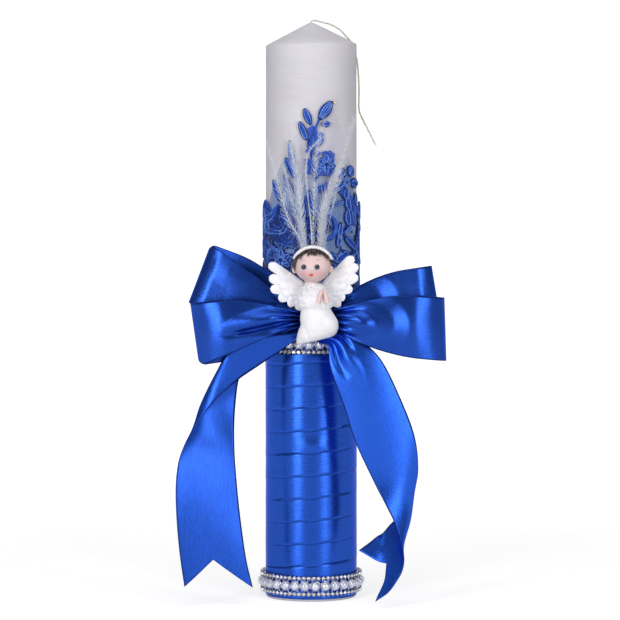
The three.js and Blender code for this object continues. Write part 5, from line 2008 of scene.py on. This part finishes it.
@dataclass
class Angel:
    """A small kneeling angel of painted resin, with its hands together."""

    middle: float = 1.0
    back: float = -47.3
    head_centre: Sequence[float] = (1.0, -58.8, 222.5)
    head_radii: Sequence[float] = (11.7, 10.4, 10.9)
    locks: int = 74
    beads: int = 17
    seed: int = 5
    skirt: tuple[Five, ...] = (
        (-9.2, 171.2, 9.5, 175.6, 6.4), (-9.6, 172.4, 14.6, 177.2, 7.6), (-9.4, 176, 17, 180.6, 8.6),
        (-8.4, 180.5, 17.6, 184.2, 8.8), (-6.9, 184.2, 16.8, 187.5, 8.6), (-7.2, 188.5, 14.4, 191.5, 8.2),
        (-6.6, 194.4, 12, 195.4, 7.4),
    )
    chest: tuple[Four, ...] = (
        (-7.4, 12.4, 194.6, 7.4), (-8.4, 13, 196.6, 7.9), (-8.6, 12.8, 200.5, 7.8), (-7.9, 11.4, 205, 7.2),
        (-6.2, 9.2, 208.6, 6.2), (-3.6, 5.6, 211.2, 4.6),
    )
    left_feathers: tuple[Five, ...] = (
        (6.5, 209.5, 28.6, 223.6, 6.6), (6, 206.5, 28.4, 214.9, 7), (6, 204, 27.6, 207.6, 6.6),
        (5.5, 202.5, 22.6, 201.2, 6.2), (5.5, 201, 16.4, 197, 5.6), (5, 200.5, 10.4, 193.6, 5.2),
    )
    right_feathers: tuple[Five, ...] = (
        (6, 208, 26.6, 228.2, 6.8), (6.5, 206.5, 29.4, 222.8, 6.8), (6.5, 205, 29.4, 215.6, 7),
        (6.5, 203.5, 25.9, 207.6, 6.4), (6, 202.5, 21.2, 201.6, 5.8), (6, 201, 18.4, 196.6, 5.4),
        (6, 200.5, 12.8, 195.4, 5),
    )

    def _face(self, fall: float, turn: float, extra: float = 0.0) -> Vector:
        """Gives a point on the head, or at a height above it.

        Args:
            fall: radians down from the crown.
            turn: radians round from the front.
            extra: how far above the skin.

        Returns:
            The point, in millimetres.
        """
        rx, ry, rz = self.head_radii
        front = max(0.0, cos(turn)) * sin(fall)
        low = smoothstep(radians(95), radians(150), fall)
        cheek = bell(fall, 1.95, 0.35) * bell(abs(turn), 0.62, 0.4)
        nose = bell(fall, 1.73, 0.10) * bell(turn, 0, 0.10)
        chin = bell(fall, 2.35, 0.22) * bell(turn, 0, 0.35)
        brow = bell(fall, 1.30, 0.25) * bell(turn, 0, 0.9)
        grow = 1 + 0.035 * cheek + 0.035 * chin + 0.012 * brow - 0.03 * low
        x = (rx * grow + extra) * sin(fall) * sin(turn)
        y = -(ry * grow + extra) * sin(fall) * cos(turn) - 0.75 * nose - 0.2 * front
        return Vector(self.head_centre) + Vector((x, y, (rz * grow + extra) * cos(fall)))

    def _on_face(self, x: float, z: float, extra: float) -> Vector:
        """Gives the point of the face, a little above the skin, that is seen at x and z."""
        cx, _, cz = self.head_centre
        rx, _, rz = self.head_radii
        fall = acos(clamp((z - cz) / rz, -0.99, 0.99))
        turn = asin(clamp((x - cx) / (rx * sin(fall)), -0.99, 0.99))
        return self._face(fall, turn, extra)

    def _head(self, skin: Material) -> None:
        """Makes the head with its ears and neck."""
        bm = bmesh.new()
        shape_grid(bm, 56, 96, lambda u, v: self._face(pi * u, tau * (v - 0.5)), ring=True)
        weld(bm)
        cx, cy, cz = self.head_centre
        for side in Side:
            for vert in ball(bm, 1.0):
                x, y, z = vert.co
                dent = 0.55 * bell(x, 0, 0.5) * bell(z, 0, 0.55) if y < 0 else 0.0
                vert.co = Vector((cx + side * (11.9 + 1.5 * x), cy - 1.0 + y + dent, cz - 2.4 + 2.4 * z))
        bmesh.ops.translate(bm, verts=rod(bm, 32, 4.6, 4.2, 6.0), vec=(0.3, cy + 3.0, 211.4))
        turn_out(bm)
        settle(from_bmesh("painted_head", bm, skin), ["angel_head"])

    def _patch(self, name: str, spots: Sequence[Four], paint: Material, lift: float) -> None:
        """Lays thin painted ovals on the face.

        Args:
            name: the piece's name.
            spots: each oval's x, z, half width and half height.
            paint: the finish.
            lift: how far the paint stands on the skin.
        """
        bm = bmesh.new()
        for x, z, wide, tall in spots:

            def oval(u: float, v: float) -> Vector:
                turn = tau * v
                high = lift * rounded(u) + 0.04
                return self._on_face(x + wide * u * sin(turn), z + tall * u * cos(turn), high)

            shape_grid(bm, 6, 28, oval, ring=True)
        weld(bm)
        turn_out(bm)
        settle(from_bmesh(name, bm, paint), [])

    def _features(self) -> None:
        """Paints the eyes, brows and mouth."""
        grey = PaintFinish("eye_grey", (0.22, 0.26, 0.40), (0.42, 0.46, 0.62), 0.35).build()
        black = PaintFinish("eye_black", (0.004, 0.004, 0.006), (0.008, 0.008, 0.012), 0.15).build()
        white = PaintFinish("eye_glint", (0.8, 0.8, 0.82), (0.9, 0.9, 0.9), 0.3).build()
        red = PaintFinish("mouth_red", (0.72, 0.09, 0.05), (0.85, 0.14, 0.08), 0.4).build()
        brown = PaintFinish("brow_brown", (0.42, 0.27, 0.24), (0.55, 0.38, 0.34), 0.6).build()
        shades = ((-4.7, 222.0, 2.1, 1.75), (3.7, 222.0, 1.9, 1.75))
        irises = ((-4.75, 222.4, 1.5, 1.5), (3.75, 222.5, 1.5, 1.5))
        glints = ((-5.1, 223.2, 0.32, 0.32), (3.4, 223.3, 0.3, 0.32))
        self._patch("eye_shades", shades, grey, 0.03)
        self._patch("eye_irises", irises, black, 0.85)
        self._patch("eye_glints", glints, white, 1.05)
        self._patch("mouth", ((-0.1, 217.1, 1.45, 0.95),), red, 0.28)
        brows = [
            Thread(
                [self._on_face(x + 2.0 * t, z + 0.5 * (1 - t * t), 0.02) for t in (-1, -0.5, 0, 0.5, 1)],
                [0.08, 0.2, 0.24, 0.2, 0.08],
            )
            for x, z in ((-5.3, 226.0), (4.3, 226.6))
        ]
        settle(bundle("painted_brows", brows, brown), [])

    def _hair(self, brown: Material) -> None:
        """Makes the cap of hair and the locks that fall on the brow."""
        bm = bmesh.new()

        def cap(u: float, v: float) -> Vector:
            turn = tau * (v - 0.5)
            fall = u * (1.30 - 0.70 * cos(turn))
            return self._face(fall, turn, 1.7 * (1 - u) ** 0.5 + 0.3)

        shape_grid(bm, 20, 64, cap, ring=True)
        weld(bm)
        piece = from_bmesh("hair_cap", bm, brown)
        add_modifier(piece, "SOLIDIFY", thickness=0.6 * MM, offset=-1.0)
        settle(piece, ["angel_hair"])
        rng = random.Random(self.seed)
        locks: list[Thread] = []
        for k in range(self.locks):
            turn = lerp(-2.4, 2.4, (k + rng.random() * 0.6) / self.locks)
            front = exp(-((abs(turn) / 1.15) ** 4))
            side = 1.85 if turn < 0 else 1.45
            end = lerp(side, 0.76, front) + rng.uniform(-0.08, 0.24)
            points = [
                self._face(lerp(0.06, end, t), turn + 0.10 * sin(3.2 * t + k) * t, 2.5 - 1.7 * t)
                for t in (s / 8 for s in range(9))
            ]
            locks.append(Thread(points, [lerp(0.62, 0.14, max(0, s - 5) / 3) for s in range(9)]))
        settle(bundle("hair_locks", locks, brown), [])

    def _headband(self, resin: Material) -> None:
        """Strings the white beads of the headband."""
        bm = bmesh.new()
        cx, cy, cz = self.head_centre
        for row, (radius, ahead, reach) in enumerate(((1.16, -5.6, 12.9), (0.9, -4.0, 13.3))):
            for k in range(self.beads):
                swing = radians(lerp(-64, 64, (k + 0.5 * row) / (self.beads - 1)))
                made = bmesh.ops.create_icosphere(bm, subdivisions=2, radius=radius)["verts"]
                y, z = cy + ahead * cos(swing) - 0.6, cz + (reach - 0.5) * cos(swing)
                bmesh.ops.translate(bm, verts=made, vec=(cx + reach * sin(swing), y, z))
        settle(from_bmesh("beaded_headband", bm, resin), ["angel_headband"])

    def _robe(self, resin: Material, fleece: Material) -> None:
        """Makes the smooth skirt and the fleecy chest."""
        bm = bmesh.new()
        sections = [Vector(part) for part in self.skirt]

        def skirt(u: float, v: float) -> Vector:
            place = u * (len(sections) - 1)
            k = min(int(place), len(sections) - 2)
            near = [sections[max(0, min(k + step, len(sections) - 1))] for step in (-1, 0, 1, 2)]
            left, left_z, right, right_z, deep = through(*near, place - k)
            turn = tau * v
            share = (sin(turn) + 1) / 2
            x, z = lerp(left, right, share), lerp(left_z, right_z, share)
            folds = 0.35 * cos(5 * turn + 3 * u) * (1 - u) ** 1.4
            crease = bell(x, 0.35 * (184 - z) - 4.6, 0.9) * smoothstep(187, 181, z)
            drape = bell(z, 182.5 - 0.032 * (x - 4) ** 2, 1.1) * smoothstep(-4, 0, x)
            front = max(0.0, cos(turn))
            reach = deep + folds - 1.1 * crease * front + 0.35 * drape * front
            return Vector((x, self.back - deep - reach * cos(turn), z))

        shape_grid(bm, 72, 96, skirt, ring=True)
        close_up(bm)
        settle(from_bmesh("smooth_skirt", bm, resin), ["angel_robe"])

        bm = bmesh.new()
        rings = [Vector(part) for part in self.chest]

        def bodice(u: float, v: float) -> Vector:
            place = u * (len(rings) - 1)
            k = min(int(place), len(rings) - 2)
            left, right, z, deep = rings[k].lerp(rings[k + 1], place - k)
            turn = tau * v
            x = lerp(left, right, (sin(turn) + 1) / 2)
            forward = 7.5 * smoothstep(203, 212, z)
            spot = Vector((x, self.back - deep - forward * 0.8 - deep * cos(turn), z))
            fleece_high = noise.noise(spot * 0.62) + 0.6 * noise.noise(spot * 1.25)
            outwards = Vector((sin(turn), -cos(turn), 0.2))
            return spot + outwards * (0.55 * fleece_high + 0.2)

        shape_grid(bm, 60, 150, bodice, ring=True)
        close_up(bm)
        settle(from_bmesh("fleecy_chest", bm, fleece), [])

    def _hands(self, skin: Material) -> None:
        """Makes the two praying hands."""
        threads: list[Thread] = []
        y = self.back - 15.6
        for wrist, tip in ((4.4, 6.9), (10.4, 8.3)):
            start, end = Vector((wrist, y, 199.0)), Vector((tip, y - 0.9, 207.4))
            points = [start.lerp(end, s / 7) for s in range(8)]
            threads.append(Thread(points, [1.75, 1.7, 1.55, 1.4, 1.3, 1.15, 0.95, 0.55]))
        settle(bundle("praying_hands", threads, skin, sides=4), ["angel_hands"])

    def _wing(self, side: Side, feathers: Sequence[Five], resin: Material) -> None:
        """Makes one wing of overlapping feathers.

        Args:
            side: the side that it is on.
            feathers: each one's root, tip (outwards and height) and width.
            resin: its finish.
        """
        bm = bmesh.new()
        for row, (reach, wide, lift) in enumerate(((1.0, 1.0, 0.0), (0.74, 0.9, 0.75), (0.46, 0.85, 1.4))):
            for order, (root_x, root_z, tip_x, tip_z, width) in enumerate(feathers):
                root, tip = Vector((root_x, 0, root_z)), Vector((tip_x, 0, tip_z))
                if row == 1 and order + 1 < len(feathers):
                    after = feathers[order + 1]
                    tip = tip.lerp(Vector((after[2], 0, after[3])), 0.5)
                end = root.lerp(tip, reach)
                run = end - root
                across = Vector((-run.z, 0, run.x)).normalized()

                def blade(u: float, v: float) -> Vector:
                    turn = tau * v
                    tipped = rounded(clamp((u - 0.82) / 0.18))
                    half = width * wide / 2 * (0.72 + 0.28 * u) * max(tipped, 0.02)
                    spot = root + run * u + across * (half * cos(turn))
                    thick = 0.75 * max(tipped, 0.15)
                    phase = u * run.length / 1.3 + abs(cos(turn)) * 1.4
                    barbs = 0.13 * cos(tau * phase)
                    ridge = 0.22 * bell(cos(turn), 0, 0.18)
                    deep = sin(turn) * thick
                    y = self.back - 0.8 - lift - 0.10 * max(0.0, spot.x - 4.6) - deep
                    if deep > 0:
                        y -= barbs + ridge * tipped
                    return Vector((self.middle + side * spot.x, y, spot.z))

                shape_grid(bm, 26, 20, blade, ring=True)
        close_up(bm)
        name = side.name.lower()
        settle(from_bmesh(f"feathered_wing_{name}", bm, resin), [f"angel_wing_{name}"])

    def build(self) -> None:
        """Makes and paints the whole figure."""
        body = PaintFinish("white_resin", (0.87, 0.87, 0.91), (0.94, 0.93, 0.96), 0.55, 700, 0.05, 0.25, 0.1)
        fleece = PaintFinish("fleecy_resin", (0.80, 0.80, 0.86), (0.95, 0.94, 0.97), 0.7, 1100, 0.15, 0.5)
        skin = SkinFinish().build()
        hand = PaintFinish("hand_skin", (0.80, 0.56, 0.54), (0.88, 0.68, 0.66), 0.5, 600, 0.03, 0.1, 0.15)
        hair = PaintFinish("brown_hair", (0.010, 0.005, 0.005), (0.055, 0.03, 0.026), 0.45, 1400, 0.15, 0.6)
        # The wings get a lighter copy of the white resin than the robe, because they turn away from the
        # lamps: painted light.
        wing = PaintFinish("wing_resin_lit", (0.96, 0.92, 1.0), (1.0, 0.97, 1.0), 0.5, 700, 0.05, 0.25, 0.25)
        white, pale = body.build(), wing.build()
        self._head(skin)
        self._features()
        self._hair(hair.build())
        self._headband(white)
        self._robe(white, fleece.build())
        self._hands(hand.build())
        self._wing(Side.LEFT, self.left_feathers, pale)
        self._wing(Side.RIGHT, self.right_feathers, pale)


@dataclass
class Pin:
    """The pearl-headed pin at the root of the bow."""

    node: str = "bow_pin"
    radius: float = 1.1
    shank: float = 0.35

    def build(self, pearl: Material) -> None:
        """Makes the pin's head on its shank.

        Args:
            pearl: the head's finish.
        """
        low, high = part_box(self.node)
        bm = bmesh.new()
        head = ball(bm, self.radius)
        centre = (Vector(low) + Vector(high)) / 2 / MM
        front = Vector((centre.x, low[1] / MM + self.radius, centre.z))
        bmesh.ops.translate(bm, verts=head, vec=front)
        shank = rod(bm, 12, self.shank, self.shank, 1.2)
        bmesh.ops.rotate(bm, verts=shank, cent=(0, 0, 0), matrix=Matrix.Rotation(pi / 2, 3, "X"))
        bmesh.ops.translate(bm, verts=shank, vec=front + Vector((0, 1.3, 0)))
        settle(from_bmesh("pin_head", bm, pearl), [self.node])


def main() -> None:
    """Loads the solids and dresses them, piece by piece."""
    logging.basicConfig(level=logging.INFO, format="%(name)s: %(message)s", stream=sys.stdout)
    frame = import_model()
    studio = Studio()
    studio.place_camera()
    cotton = CordFinish("waxed_cotton", (0.55, 0.50, 0.44), (0.80, 0.74, 0.66), 0.6, 0.1).build()
    WickTail().build(cotton)
    studio.hang_lamps()
    studio.lay_floor()

    WaxPillar().build(WaxFinish().build())
    WoundRibbon().build()
    pearl, stone, silver = PearlFinish().build(), StoneFinish().build(), MetalFinish().build()
    PearlTrim("lower_trim", 10.6, 31.7, 4.7).build(pearl, stone, silver)
    PearlTrim("upper_trim", 170.1, 32.3, -2.2).build(pearl, stone, silver)
    SatinBow().build()
    BowTail("tail_left", LEFT_TAIL, 218.0).build()
    right_folds = (
        Puff((24, -10), (15, 4.2), -2.4, 0.6),
        Puff((16, 7), (13, 4.0), -2.0, 0.6),
        Puff((24, 0), (22, 4.6), 1.6, 0.7),
    )
    # The right tail gets a lighter copy of the ribbon's blue, which brightens its curled face: painted
    # light.
    BowTail("tail_right", RIGHT_TAIL, 212.0, folds=right_folds, blue=(0.016, 0.092, 0.57)).build()
    Pin().build(PearlFinish("pin_pearl", (0.8, 0.8, 0.82), (0.9, 0.9, 0.9)).build())
    Lace().build()
    for slot in frame["nodes"]["wick_core"].material_slots:
        slot.material = cotton
    down = PaintFinish("white_down", (0.93, 0.89, 0.97), (1.0, 0.96, 1.0), 0.8, 500, 0.02, 0.1, 0.7).build()
    FeatherTuft().build(down)
    Angel().build()

    bpy.context.scene.view_settings.view_transform = "Standard"


if __name__ == "__main__":
    main()
